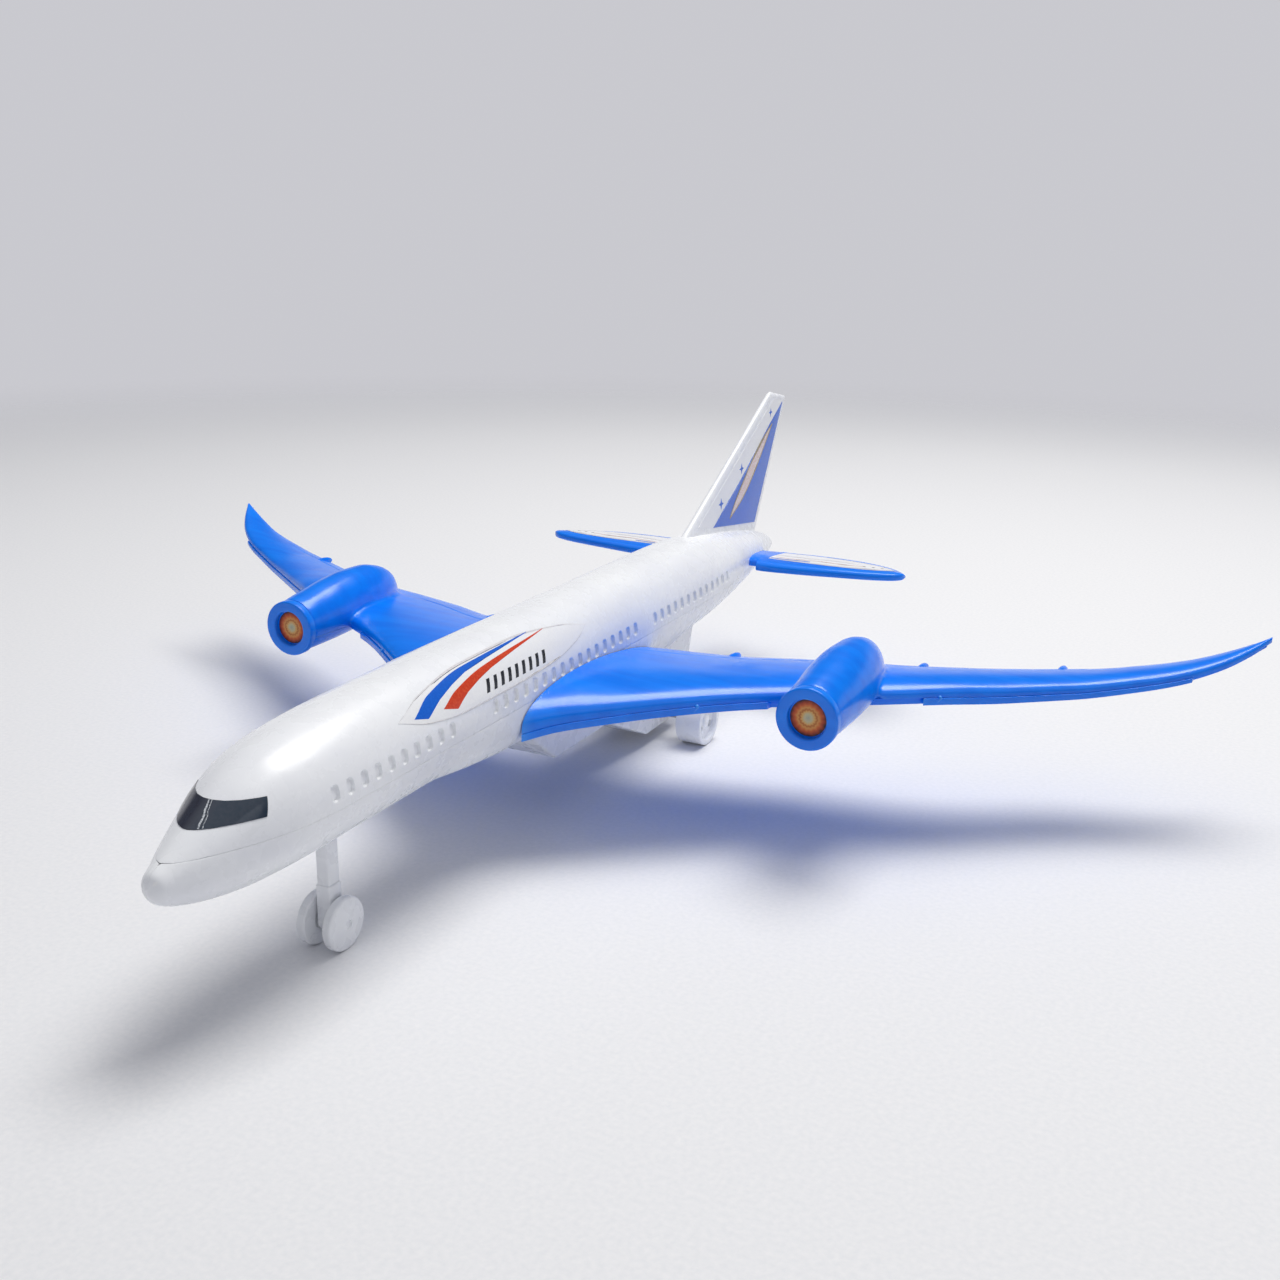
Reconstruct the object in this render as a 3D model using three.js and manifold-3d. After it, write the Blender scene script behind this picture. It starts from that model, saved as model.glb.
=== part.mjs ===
// A friction-driven toy airliner in millimetres.
// +Z is up, the nose points along -Y, and the port wing lies along +X.
// The origin is on the ground, under the middle of the airliner's box.
import * as THREE from "three";
import { mergeVertices } from "three/addons/utils/BufferGeometryUtils.js";
import Module from "manifold-3d";

const wasm = await Module();
wasm.setup();

// ---------- driving dimensions ----------
const GAP = 0.3; // between two mouldings that touch
const WALL = 1.5; // fuselage shell
const WING_WALL = 1.2; // wing and engine shell
const SEAM_Z = 49.5; // joint between the upper and lower fuselage shells
const STICKER = 0.15; // printed film
const FILM_REACH = [2, 25]; // x from the middle that a side film's outline is cut through

// Fuselage stations: y, top, bottom, half width, squareness of the lower half (2 is an ellipse).
const FUSELAGE = [
  [-196.9, 45.6, 42.6, 1.2, 2],
  [-196.2, 47.4, 40.9, 3.0, 2],
  [-192.4, 49.7, 38.4, 5.2, 2],
  [-186.1, 53.4, 36.4, 8.2, 2],
  [-178.0, 58.0, 34.9, 11.4, 2],
  [-169.0, 62.9, 34.2, 14.5, 2],
  [-159.1, 66.4, 34.2, 16.8, 2],
  [-147.4, 68.4, 34.3, 17.8, 2],
  [-130.0, 69.6, 34.4, 18.0, 2],
  [-100.0, 70.2, 34.4, 18.0, 2],
  [-82.0, 70.4, 34.4, 18.0, 3],
  [-62.0, 70.4, 34.4, 18.0, 4],
  [34.0, 70.4, 34.4, 18.0, 4],
  [62.0, 70.4, 34.4, 18.0, 2.4],
  [80.0, 70.2, 34.7, 17.7, 2],
  [95.6, 69.3, 35.6, 16.9, 2],
  [122.6, 66.1, 38.7, 14.2, 2],
  [145.1, 62.4, 42.2, 11.3, 2],
  [161.3, 59.0, 44.6, 8.4, 2],
  [176.6, 54.6, 46.6, 4.8, 2],
  [184.4, 50.4, 47.8, 1.4, 2],
];
const FUSELAGE_SIDES = 24;
const HOLLOW_ENDS = [-193, 177]; // the nose and tail tips are solid beyond these
const BODY_BOX = [-30, 30, -220, 220]; // x and y, well outside the fuselage

// Windows: first y of each row, how many, at one pitch.
const WINDOW_ROWS = [
  [-150.7, 10],
  [-77.1, 17],
  [29.5, 13],
];
const WINDOW = { pitch: 5.69, width: 2.6, height: 4.2, z: 54.3, depth: 0.5 };

// Films on the fuselage, as outlines in y and z.
const WINDSCREEN = [
  [-188, 54.4],
  [-170.4, 54.8],
  [-168.0, 58.8],
  [-188, 59.0],
];
const SIDE_FILM = [
  [-120.5, 62.4],
  [-107, 58.6],
  [-90, 56.9],
  [-74.6, 56.8],
  [-48, 57.0],
  [-26, 60.2],
  [-16, 63.3],
  [-30, 66.2],
  [-57, 68.2],
  [-84, 68.0],
  [-107, 65.9],
];

// Tongues that locate the wings, tailplane and fin in slots of the fuselage.
const TONGUE = { inner: 14, outer: 24, y0: -30, y1: 10, z0: 43.8, z1: 45.6 };
const TAIL_TONGUE = { inner: 7.5, outer: 20, y0: 132, y1: 148, z0: 52, z1: 54.2 };
const FIN_TONGUE = { half: 1.2, y0: 112, y1: 140, z0: 60.5, z1: 72, slotZ: 58.5 };
const SLOT_OUTER_X = 20; // a slot runs out past the fuselage's side

// Wing stations: x, leading edge y and z, trailing edge y and z, height of the crown over the chord.
const WING = [
  [18.3, -63.6, 41.2, 25.4, 44.4, 9.9],
  [26.0, -55.5, 43.0, 26.6, 44.5, 8.4],
  [36.0, -46.6, 44.1, 27.8, 44.6, 7.0],
  [54.0, -31.8, 45.6, 30.8, 44.8, 5.7],
  [72.0, -18.2, 46.4, 36.6, 45.2, 4.9],
  [90.0, -8.0, 47.0, 39.8, 46.0, 4.6],
  [126.0, 13.3, 47.6, 47.8, 47.2, 4.0],
  [144.0, 26.4, 47.0, 57.2, 47.0, 3.6],
  [162.0, 39.0, 47.2, 66.0, 47.4, 3.2],
  [180.0, 50.4, 48.9, 71.9, 49.9, 2.8],
  [193.5, 58.6, 51.3, 76.0, 52.8, 2.4],
  [212.0, 77.0, 57.4, 84.2, 59.0, 1.6],
  [216.9, 84.6, 60.2, 86.4, 61.0, 1.2],
];
const CROWN_AT = [0, 0.02, 0.08, 0.2, 0.36, 0.56, 0.8, 1]; // shares of the chord
const EDGE_LIFT = 0.25; // thickness that the shell keeps at its edges
const ROOT_RIB = [18.3, 19.5]; // x of the rib that closes the wing beside the fuselage
const WING_BOX = [-80, 40, 30, 80]; // y and z around the rib
const LIP_INNER_END = 78.8; // the cover's lip stops short of the engine
const LIP_OUTER_START = 121.5;
const LIP_OUTER_END = 196;
const LIP = 0.7; // how far the lip stands in front of the leading edge
// The cover's set-backs from the leading and trailing edge, and its depth as a share of the chord.
const COVER = { front: 1.5, back: 1.2, depthShare: 0.05, leastDepth: 0.5, mostDepth: 2.1 };
const TRACK_FAIRINGS = [49.5, 112.5, 155]; // x of the bumps under the trailing edge
const FAIRING = { radii: [1.5, 5.5, 1.7], ahead: 2.6, above: 0.3 };

// Engines.
const ENGINE = { x: 97.4, z: 49.4, front: -31.4, ring: 9.9, ringLength: 3.2, hole: 6.1, recess: 2 };
const ENGINE_SPLIT_Z = 46.6;
const ENGINE_BOX = [60, 140, -40, 40]; // x and y around the nacelle
const ENGINE_PAPER = 0.3; // thickness of the printed disc
// y, half width, height above the centre line, depth below it
const NACELLE = [
  [-27.9, 9.2, 9.8, 9.0],
  [-18, 10.2, 11.6, 9.0],
  [-8, 10.9, 13.2, 8.4],
  [2, 11.0, 14.1, 7.6],
  [12, 10.2, 13.9, 6.6],
  [20, 8.4, 12.2, 5.6],
  [26, 5.9, 9.4, 4.8],
  [30, 2.6, 5.6, 4.1],
];
const NACELLE_SIDES = 20;
const NACELLE_HOLLOW_END = 27;

// Fin outline in the middle plane, base first, and its thickness at base and top.
const FIN = {
  baseFront: [84, 66],
  baseBack: [163.4, 56],
  topFront: [177.9, 117.7],
  topBack: [196.9, 114.2],
};
const FIN_THICK = { base: 5.0, top: 2.6 };
const FIN_LEVELS = [0, 0.12, 0.5, 0.97, 1]; // shares of the height
const FIN_TOP_INSET = 0.9;
// share of the chord, share of half the thickness
const FIN_SECTION = [
  [0, 0.15],
  [0.02, 0.6],
  [0.08, 0.9],
  [0.3, 1],
  [0.7, 0.8],
  [1, 0.35],
];
const FIN_FILM = [
  [100, 75.4],
  [112, 73.4],
  [134, 70.2],
  [158.6, 66.6],
  [189.2, 112.2],
  [180.2, 114.6],
];

// Tailplane stations: x, leading edge y, trailing edge y, underside z, thickness.
const TAILPLANE = [
  [12.6, 128.5, 153.6, 51.4, 3.4],
  [18.6, 127.6, 153.3, 51.6, 3.4],
  [19.2, 121.3, 153.2, 51.6, 4.2],
  [36.0, 120.4, 151.9, 52.2, 4.0],
  [54.0, 121.3, 149.0, 52.9, 3.6],
  [68.0, 122.6, 143.4, 53.4, 3.3],
  [75.0, 124.2, 138.0, 53.7, 3.0],
  [79.0, 127.0, 133.0, 53.9, 2.4],
];
// The tailplane film's outline, seen from above, as x and y.
const TAIL_FILM = [
  [22, 129],
  [50, 126.4],
  [68, 126.6],
  [74.5, 129],
  [74.5, 132.4],
  [68, 138.6],
  [54, 144.6],
  [22, 149.2],
];

// Undercarriage.
const MAIN = { y: 54.4, radius: 9.18, outer: 29.3, width: 10, axle: 1.0 };
// The main wheel's rim, web, hub and holes: radii, and depths under its outer face.
const MAIN_WHEEL = {
  rim: 7.0,
  web: 6.7,
  hub: 2.6,
  webDepth: 1.6,
  capDepth: 0.8,
  skirtDepth: 3.2,
  boreDepth: 3.4,
  edge: 0.6,
  holes: 3,
  holeRadius: 1.5,
  holeCircle: 4.7,
};
const AXLE_END = 3.8; // how far the axle stops short of the wheel's outer face
const NOSE = { y: -134.5, radius: 7.65, outer: 6.4, width: 3.5, axle: 0.9, axleEnd: 1.2 };
const WHEEL_SIDES = 24;
// The nose leg: half sizes in x and y of its parts, and the heights where they meet.
const LEG = {
  upper: [2.0, 2.4],
  lower: [2.4, 2.7],
  flange: [3.8, 5],
  slot: [2.4, 3.0],
  upperZ: [18, 38],
  lowerTop: 19,
  flangeZ: [37.4, 39.2],
  slotZ: [30, 38],
};

// Friction motor: centres in y and z, tooth counts at one module.
const MODULE = 0.5;
const PRESSURE = THREE.MathUtils.degToRad(20);
const TEETH = { axle: 20, idlerPinion: 10, idlerGear: 22, flywheelPinion: 8 };
const MESH_DISTANCE = 7.5;
const IDLER_ANGLE = THREE.MathUtils.degToRad(140);
const FLYWHEEL_ANGLE = THREE.MathUtils.degToRad(115);
const AXLE_YZ = [MAIN.y, MAIN.radius * Math.cos(Math.PI / WHEEL_SIDES)];
const IDLER_YZ = [
  AXLE_YZ[0] + MESH_DISTANCE * Math.cos(IDLER_ANGLE),
  AXLE_YZ[1] + MESH_DISTANCE * Math.sin(IDLER_ANGLE),
];
const FLYWHEEL_YZ = [
  IDLER_YZ[0] + MESH_DISTANCE * Math.cos(FLYWHEEL_ANGLE),
  IDLER_YZ[1] + MESH_DISTANCE * Math.sin(FLYWHEEL_ANGLE),
];
const DEDENDUM = 0.5;
const ADDENDUM = 0.27;
const BACKLASH = 0.12; // share of a tooth's thickness
const SHAFT = { radius: 0.8, bore: 1.05, from: -8.2, idlerTo: 3.4 };
const GEAR_X = {
  axle: [-6.8, -3.4],
  idlerPinion: [-6.8, -2.2],
  idlerGear: [-2.6, -0.6],
  flywheelPinion: [-3.0, 0.4],
};
const FLYWHEEL = { radius: 11, from: 4.2, to: 8.4, bore: 1.1, edge: 0.6, shaftEnd: 0.5 };
const PLATE_LEFT = [2.6, 3.6];
const PLATE_RIGHT = [-8.4, -7.4];
const PLATE_OUTLINE = [
  [33.4, 14],
  [40, 7.2],
  [57.4, 7.2],
  [57.6, 20],
  [53, 30],
  [40, 30],
];
const PILLARS = [
  [36.6, 15.4],
  [55.2, 19.6],
];
const PILLAR_RADIUS = 1.2;
const MOTOR_OPENING = [-9, 9, 31.5, 58.9, 30, 40]; // in the lower shell

// Belly housing: outer and inner side outlines in y and z, and half width. The fuselage cuts its top.
const HOUSING_HALF = 10.8;
const HOUSING_WALL = 1.4;
const HOUSING = [
  [-58, 42],
  [-29.5, 20],
  [7.4, 20],
  [34, 8],
  [39, 5.5],
  [66.6, 5.5],
  [70, 8],
  [80, 42],
];
const HOUSING_INNER = [
  [-52, 40],
  [-28.6, 21.6],
  [8, 21.6],
  [34.6, 9.6],
  [39.6, 6.9],
  [66, 6.9],
  [68.8, 9],
  [78, 40],
];
const GEAR_SLOT = { x: [-7.2, -3.0], half: 6, top: 9 }; // the axle gear looks out under the housing
const SCREW = { head: 2.2, headHeight: 1.6, shank: 1.2, length: 11, point: 1.2, round: 0.5 };
const CROSS = { arm: 1.2, half: 0.25, depth: 0.8 }; // recess in a screw's head
const SHELL_SCREWS_Y = [-112, 104];
const HOUSING_SCREWS = [
  [-21, 20],
  [62.9, 5.5],
];
const SCREW_PASSAGE = 1.6;
const COUNTERBORE = 2.7;
const COUNTERBORE_DEPTH = 2.6;
const BOSS = 3.4;
const BOSS_SPLIT_Z = 44; // the lower shell's bosses end here
const SCREW_END_Z = 53;
const HOUSING_SEAT_Z = 29; // the housing screws' heads sit here
const HOUSING_BOSS = { z0: 35, z1: 46, skin: 36.5, holeEnd: 44.5 }; // in the lower shell

// ---------- helpers ----------
// A closed three.js geometry as a manifold-3d solid, its faces turned out.
function solidOf(geometry) {
  const bare = geometry.index ? geometry.toNonIndexed() : geometry.clone();
  const onlyPosition = new THREE.BufferGeometry().setAttribute("position", bare.getAttribute("position"));
  const merged = mergeVertices(onlyPosition, 1e-4);
  const vertProperties = merged.attributes.position.array;
  const triVerts = new Uint32Array(merged.index.array);
  const solid = new wasm.Manifold(new wasm.Mesh({ numProp: 3, vertProperties, triVerts }));
  if (solid.volume() > 0) return solid;
  return new wasm.Manifold(new wasm.Mesh({ numProp: 3, vertProperties, triVerts: triVerts.reverse() }));
}

// A manifold-3d solid as a three.js geometry.
function geometryOf(solid) {
  const mesh = solid.getMesh();
  const positions = new Float32Array(mesh.numVert * 3);
  for (let i = 0; i < mesh.numVert; i++) {
    positions.set(mesh.vertProperties.subarray(i * mesh.numProp, i * mesh.numProp + 3), i * 3);
  }
  return new THREE.BufferGeometry()
    .setAttribute("position", new THREE.BufferAttribute(positions, 3))
    .setIndex(new THREE.BufferAttribute(mesh.triVerts, 1));
}

function box(x0, x1, y0, y1, z0, z1) {
  const geometry = new THREE.BoxGeometry(x1 - x0, y1 - y0, z1 - z0);
  return solidOf(geometry.translate((x0 + x1) / 2, (y0 + y1) / 2, (z0 + z1) / 2));
}

// A round bar along X between x0 and x1, centred on [y, z], with a flat facing down.
function barX(x0, x1, [y, z], radius, sides = 20) {
  const geometry = new THREE.CylinderGeometry(radius, radius, x1 - x0, sides);
  geometry.rotateY(Math.PI / sides).rotateZ(-Math.PI / 2);
  return solidOf(geometry.translate((x0 + x1) / 2, y, z));
}

// A round bar along Z between z0 and z1.
function barZ(x, y, z0, z1, radius, sides = 16) {
  const geometry = new THREE.CylinderGeometry(radius, radius, z1 - z0, sides);
  return solidOf(geometry.rotateX(Math.PI / 2).translate(x, y, (z0 + z1) / 2));
}

// A profile of [radius, x] points turned about the X axis through [y, z].
function turnedX(profile, [y, z], sides) {
  const points = profile.map(([radius, along]) => new THREE.Vector2(radius, along));
  const geometry = new THREE.LatheGeometry(points, sides);
  geometry.rotateY(Math.PI / sides).rotateZ(-Math.PI / 2);
  return solidOf(geometry.translate(0, y, z));
}

// An outline of [y, z] points given thickness along X between x0 and x1.
function plateX(outline, x0, x1) {
  const shape = new THREE.Shape(outline.map(([y, z]) => new THREE.Vector2(y, z)));
  const geometry = new THREE.ExtrudeGeometry(shape, { depth: x1 - x0, bevelEnabled: false });
  geometry.rotateX(Math.PI / 2).rotateZ(Math.PI / 2);
  return solidOf(geometry.translate(x0, 0, 0));
}

// A body through rings of equal point count; flat is the pair of axes that a ring's cap is drawn in.
function loft(rings, flat) {
  const count = rings[0].length;
  const positions = rings.flat().flatMap((p) => [p.x, p.y, p.z]);
  const index = [];
  for (let r = 0; r + 1 < rings.length; r++) {
    for (let i = 0; i < count; i++) {
      const a = r * count + i;
      const b = r * count + ((i + 1) % count);
      index.push(a, b, b + count, a, b + count, a + count);
    }
  }
  for (const last of [false, true]) {
    const ring = rings[last ? rings.length - 1 : 0];
    const contour = ring.map((p) => new THREE.Vector2(p[flat[0]], p[flat[1]]));
    const base = last ? (rings.length - 1) * count : 0;
    const forward = THREE.ShapeUtils.area(contour) > 0;
    for (const face of THREE.ShapeUtils.triangulateShape(contour, [])) {
      const turn = THREE.ShapeUtils.area(face.map((i) => contour[i])) > 0 === forward;
      const [i, j, k] = turn === last ? face : [face[0], face[2], face[1]];
      index.push(base + i, base + j, base + k);
    }
  }
  const geometry = new THREE.BufferGeometry();
  geometry.setAttribute("position", new THREE.BufferAttribute(new Float32Array(positions), 3));
  geometry.setIndex(index);
  return solidOf(geometry);
}

function unite(solids) {
  return solids.reduce((all, one) => all.add(one));
}

const root = new THREE.Group();
root.name = "toy_airliner";

function addMesh(name, solid, finish, parent = root) {
  const mesh = new THREE.Mesh(geometryOf(solid), new THREE.MeshStandardMaterial(finish));
  mesh.name = name;
  parent.add(mesh);
  return mesh;
}

const WHITE = { color: "#eef1f5", roughness: 0.32, metalness: 0 };
const BLUE = { color: "#2f86ee", roughness: 0.28, metalness: 0 };
const STEEL = { color: "#b9bcc0", roughness: 0.3, metalness: 1 };
const MOTOR_PLASTIC = { color: "#d9dbdd", roughness: 0.5, metalness: 0 };
const FILM = { color: "#f4f4f2", roughness: 0.2, metalness: 0 };
const DARK_FILM = { color: "#2b2f3a", roughness: 0.15, metalness: 0 };
const BRASS = { color: "#c8a24a", roughness: 0.35, metalness: 1 };
const ENGINE_PRINT = { color: "#d2793f", roughness: 0.35, metalness: 0 };

// ---------- fuselage ----------
// The fuselage's stations between y0 and y1, grown by a distance.
function fuselageBody(grow, y0 = -Infinity, y1 = Infinity) {
  const rings = [];
  FUSELAGE.forEach(([y, top, bottom, half, square], station) => {
    if (y < y0 || y > y1) return;
    const ring = [];
    const height = (top - bottom) / 2 + grow;
    const end = { 0: -grow, [FUSELAGE.length - 1]: grow }[station] ?? 0;
    for (let i = 0; i < FUSELAGE_SIDES; i++) {
      const angle = (2 * Math.PI * i) / FUSELAGE_SIDES;
      const power = Math.cos(angle) < 0 ? 2 / square : 1;
      const x = Math.sign(Math.sin(angle)) * Math.abs(Math.sin(angle)) ** power * (half + grow);
      const up = Math.sign(Math.cos(angle)) * Math.abs(Math.cos(angle)) ** power * height;
      ring.push(new THREE.Vector3(x, y + end, (top + bottom) / 2 + up));
    }
    rings.push(ring);
  });
  return loft(rings, ["x", "z"]);
}

// A value of the fuselage table at y; column 1 is the top, 2 the bottom, 3 the half width.
function fuselageAt(y, column) {
  const after = FUSELAGE.findIndex((row) => row[0] > y);
  const [a, b] = [FUSELAGE[after - 1], FUSELAGE[after]];
  return THREE.MathUtils.mapLinear(y, a[0], b[0], a[column], b[column]);
}

function windowPockets() {
  const pockets = [];
  for (const [first, count] of WINDOW_ROWS) {
    for (let i = 0; i < count; i++) {
      const y = first + i * WINDOW.pitch;
      const reach = fuselageAt(y, 3) - WINDOW.depth;
      const [y0, y1] = [y - WINDOW.width / 2, y + WINDOW.width / 2];
      const [z0, z1] = [WINDOW.z - WINDOW.height / 2, WINDOW.z + WINDOW.height / 2];
      pockets.push(box(reach, reach + 3, y0, y1, z0, z1));
      pockets.push(box(-reach - 3, -reach, y0, y1, z0, z1));
    }
  }
  return unite(pockets);
}

const fuselageOuter = fuselageBody(0);
const fuselageClear = fuselageBody(GAP);
const fuselageHollow = fuselageBody(-WALL, ...HOLLOW_ENDS);

function buildUpperShell() {
  let shell = fuselageOuter.subtract(fuselageHollow).intersect(box(...BODY_BOX, SEAM_Z, 100));
  for (const y of SHELL_SCREWS_Y) {
    const boss = barZ(0, y, BOSS_SPLIT_Z + GAP, fuselageAt(y, 1) - WALL / 2, BOSS);
    shell = shell.add(boss.subtract(barZ(0, y, BOSS_SPLIT_Z - 4, SCREW_END_Z, SCREW_PASSAGE)));
  }
  const finSlot = box(-FIN_TONGUE.half - GAP, FIN_TONGUE.half + GAP, FIN_TONGUE.y0 - GAP,
    FIN_TONGUE.y1 + GAP, FIN_TONGUE.slotZ, 80);
  shell = shell.subtract(windowPockets()).subtract(finSlot);
  for (const side of [-1, 1]) {
    const [a, b] = [TAIL_TONGUE.inner - GAP, SLOT_OUTER_X].map((x) => x * side).sort((p, q) => p - q);
    const slot = box(a, b, TAIL_TONGUE.y0 - GAP, TAIL_TONGUE.y1 + GAP, TAIL_TONGUE.z0 - GAP,
      TAIL_TONGUE.z1 + GAP);
    shell = shell.subtract(slot);
  }
  return shell;
}

function buildLowerShell() {
  let shell = fuselageOuter.subtract(fuselageHollow).intersect(box(...BODY_BOX, 0, SEAM_Z - GAP));
  for (const y of SHELL_SCREWS_Y) {
    const floor = fuselageAt(y, 2);
    const passage = barZ(0, y, 20, 60, SCREW_PASSAGE);
    const well = barZ(0, y, 20, floor + COUNTERBORE_DEPTH, COUNTERBORE);
    shell = shell.add(barZ(0, y, floor + WALL / 2, BOSS_SPLIT_Z, BOSS)).subtract(passage.add(well));
  }
  for (const [y] of HOUSING_SCREWS) {
    const boss = barZ(0, y, HOUSING_BOSS.z0, HOUSING_BOSS.z1, BOSS);
    const hole = barZ(0, y, HOUSING_BOSS.z0 - 5, HOUSING_BOSS.holeEnd, SCREW_PASSAGE);
    const skinHole = barZ(0, y, HOUSING_BOSS.z0 - 5, HOUSING_BOSS.skin, SCREW_PASSAGE);
    shell = shell.subtract(skinHole).add(boss.subtract(hole));
  }
  const [halfX, halfY] = LEG.slot.map((half) => half + GAP);
  const legSlot = box(-halfX, halfX, NOSE.y - halfY, NOSE.y + halfY, ...LEG.slotZ);
  shell = shell.subtract(box(...MOTOR_OPENING)).subtract(legSlot);
  for (const side of [-1, 1]) {
    const [a, b] = [TONGUE.inner - GAP, SLOT_OUTER_X].map((x) => x * side).sort((p, q) => p - q);
    shell = shell.subtract(box(a, b, TONGUE.y0 - GAP, TONGUE.y1 + GAP, TONGUE.z0 - GAP, TONGUE.z1 + GAP));
  }
  return shell;
}

// ---------- printed films ----------
// A film on a body: the skin between two grown copies of it, inside a cutter.
function filmOn(grownBody, cutter) {
  return grownBody(GAP + STICKER).subtract(grownBody(GAP)).intersect(cutter);
}

function buildFuselageFilms() {
  const [inner, outer] = FILM_REACH;
  addMesh("windscreen_sticker", filmOn(fuselageBody, plateX(WINDSCREEN, -outer, outer)), DARK_FILM);
  addMesh("side_sticker_left", filmOn(fuselageBody, plateX(SIDE_FILM, inner, outer)), FILM);
  addMesh("side_sticker_right", filmOn(fuselageBody, plateX(SIDE_FILM, -outer, -inner)), FILM);
}

// ---------- wings ----------
// Height of the crown at a share of the chord: steep at the leading edge, highest at a third.
function crownShare(share) {
  return (share ** 0.4 * (1 - share) ** 0.85) / 0.4568;
}

function chordPoint([x, leY, leZ, teY, teZ], share, lift) {
  return new THREE.Vector3(x, leY + (teY - leY) * share, leZ + (teZ - leZ) * share + lift);
}

// The wing's arched upper shell: its outer curve, then its inner curve back, open underneath.
function wingShell() {
  const rings = WING.map((station) => {
    const [, leY, , teY, , crown] = station;
    const edge = Math.min(0.3, WING_WALL / (teY - leY));
    const outer = CROWN_AT.map((s) => chordPoint(station, s, crownShare(s) * crown + EDGE_LIFT));
    const inner = [...CROWN_AT].reverse().map((s) => {
      const share = edge + (1 - 2 * edge) * s;
      const least = 0.3 + 0.2 * Math.sin(Math.PI * share);
      const lift = Math.max(least, crownShare(share) * crown - WING_WALL);
      return chordPoint(station, share, s === 0 || s === 1 ? 0 : lift);
    });
    const foot = [chordPoint(station, 1, 0), ...inner, chordPoint(station, 0, 0)];
    return [...outer, ...foot];
  });
  return loft(rings, ["y", "z"]);
}

// Everything the wing's upper shell could fill, down to a gap below its edge.
function wingEnvelope() {
  const rings = WING.map((station) => {
    const crown = station[5];
    const over = CROWN_AT.map((s) => chordPoint(station, s, crownShare(s) * crown + GAP));
    return [...over, chordPoint(station, 1, -GAP), chordPoint(station, 0, -GAP)];
  });
  return loft(rings, ["y", "z"]);
}

// The cover's stations: the wing's own, with a step at each end of the lip.
function coverStations() {
  const at = (x) => {
    const after = WING.findIndex((row) => row[0] > x);
    const [a, b] = [WING[after - 1], WING[after]];
    return a.map((value, i) => (i === 0 ? x : THREE.MathUtils.mapLinear(x, a[0], b[0], value, b[i])));
  };
  const cuts = [LIP_INNER_END, LIP_OUTER_START, LIP_OUTER_END];
  const extra = cuts.flatMap((x) => [at(x - 0.2), at(x + 0.2)]);
  const [innermost, ...rest] = WING[0];
  return [[innermost + 0.2, ...rest], ...WING.slice(1, -1), ...extra].sort((a, b) => a[0] - b[0]);
}

function wingCover() {
  const rings = coverStations().map((station) => {
    const [x, leY, , teY] = station;
    const chord = teY - leY;
    const lipped = x < LIP_INNER_END || (x > LIP_OUTER_START && x < LIP_OUTER_END);
    const front = (lipped ? -LIP : COVER.front) / chord;
    const back = 1 - COVER.back / chord;
    const depth = Math.min(COVER.mostDepth, COVER.leastDepth + chord * COVER.depthShare);
    return [
      chordPoint(station, front, -GAP),
      chordPoint(station, back, -GAP),
      chordPoint(station, back, -GAP - 0.6),
      chordPoint(station, 0.6, -GAP - depth - 0.2),
      chordPoint(station, front + 0.03, -GAP - depth),
      chordPoint(station, front, -GAP - depth + 0.4),
    ];
  });
  return loft(rings, ["y", "z"]);
}

function nacelleBody(grow, from = -Infinity, to = Infinity) {
  const rings = [];
  for (const [y, half, above, below] of NACELLE) {
    if (y < from || y > to) continue;
    const ring = [];
    for (let i = 0; i < NACELLE_SIDES; i++) {
      const angle = (2 * Math.PI * (i + 0.5)) / NACELLE_SIDES;
      const height = Math.cos(angle) > 0 ? above + grow : below + grow;
      const x = ENGINE.x + Math.sin(angle) * (half + grow);
      ring.push(new THREE.Vector3(x, y, ENGINE.z + Math.cos(angle) * height));
    }
    rings.push(ring);
  }
  return loft(rings, ["x", "z"]);
}

// A small boat-shaped fairing under the trailing edge.
function trackFairing(x) {
  const after = WING.findIndex((row) => row[0] > x);
  const [a, b] = [WING[after - 1], WING[after]];
  const y = THREE.MathUtils.mapLinear(x, a[0], b[0], a[3], b[3]);
  const z = THREE.MathUtils.mapLinear(x, a[0], b[0], a[4], b[4]);
  const geometry = new THREE.SphereGeometry(1, 10, 6);
  return solidOf(geometry.scale(...FAIRING.radii).translate(x, y - FAIRING.ahead, z + FAIRING.above));
}

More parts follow.
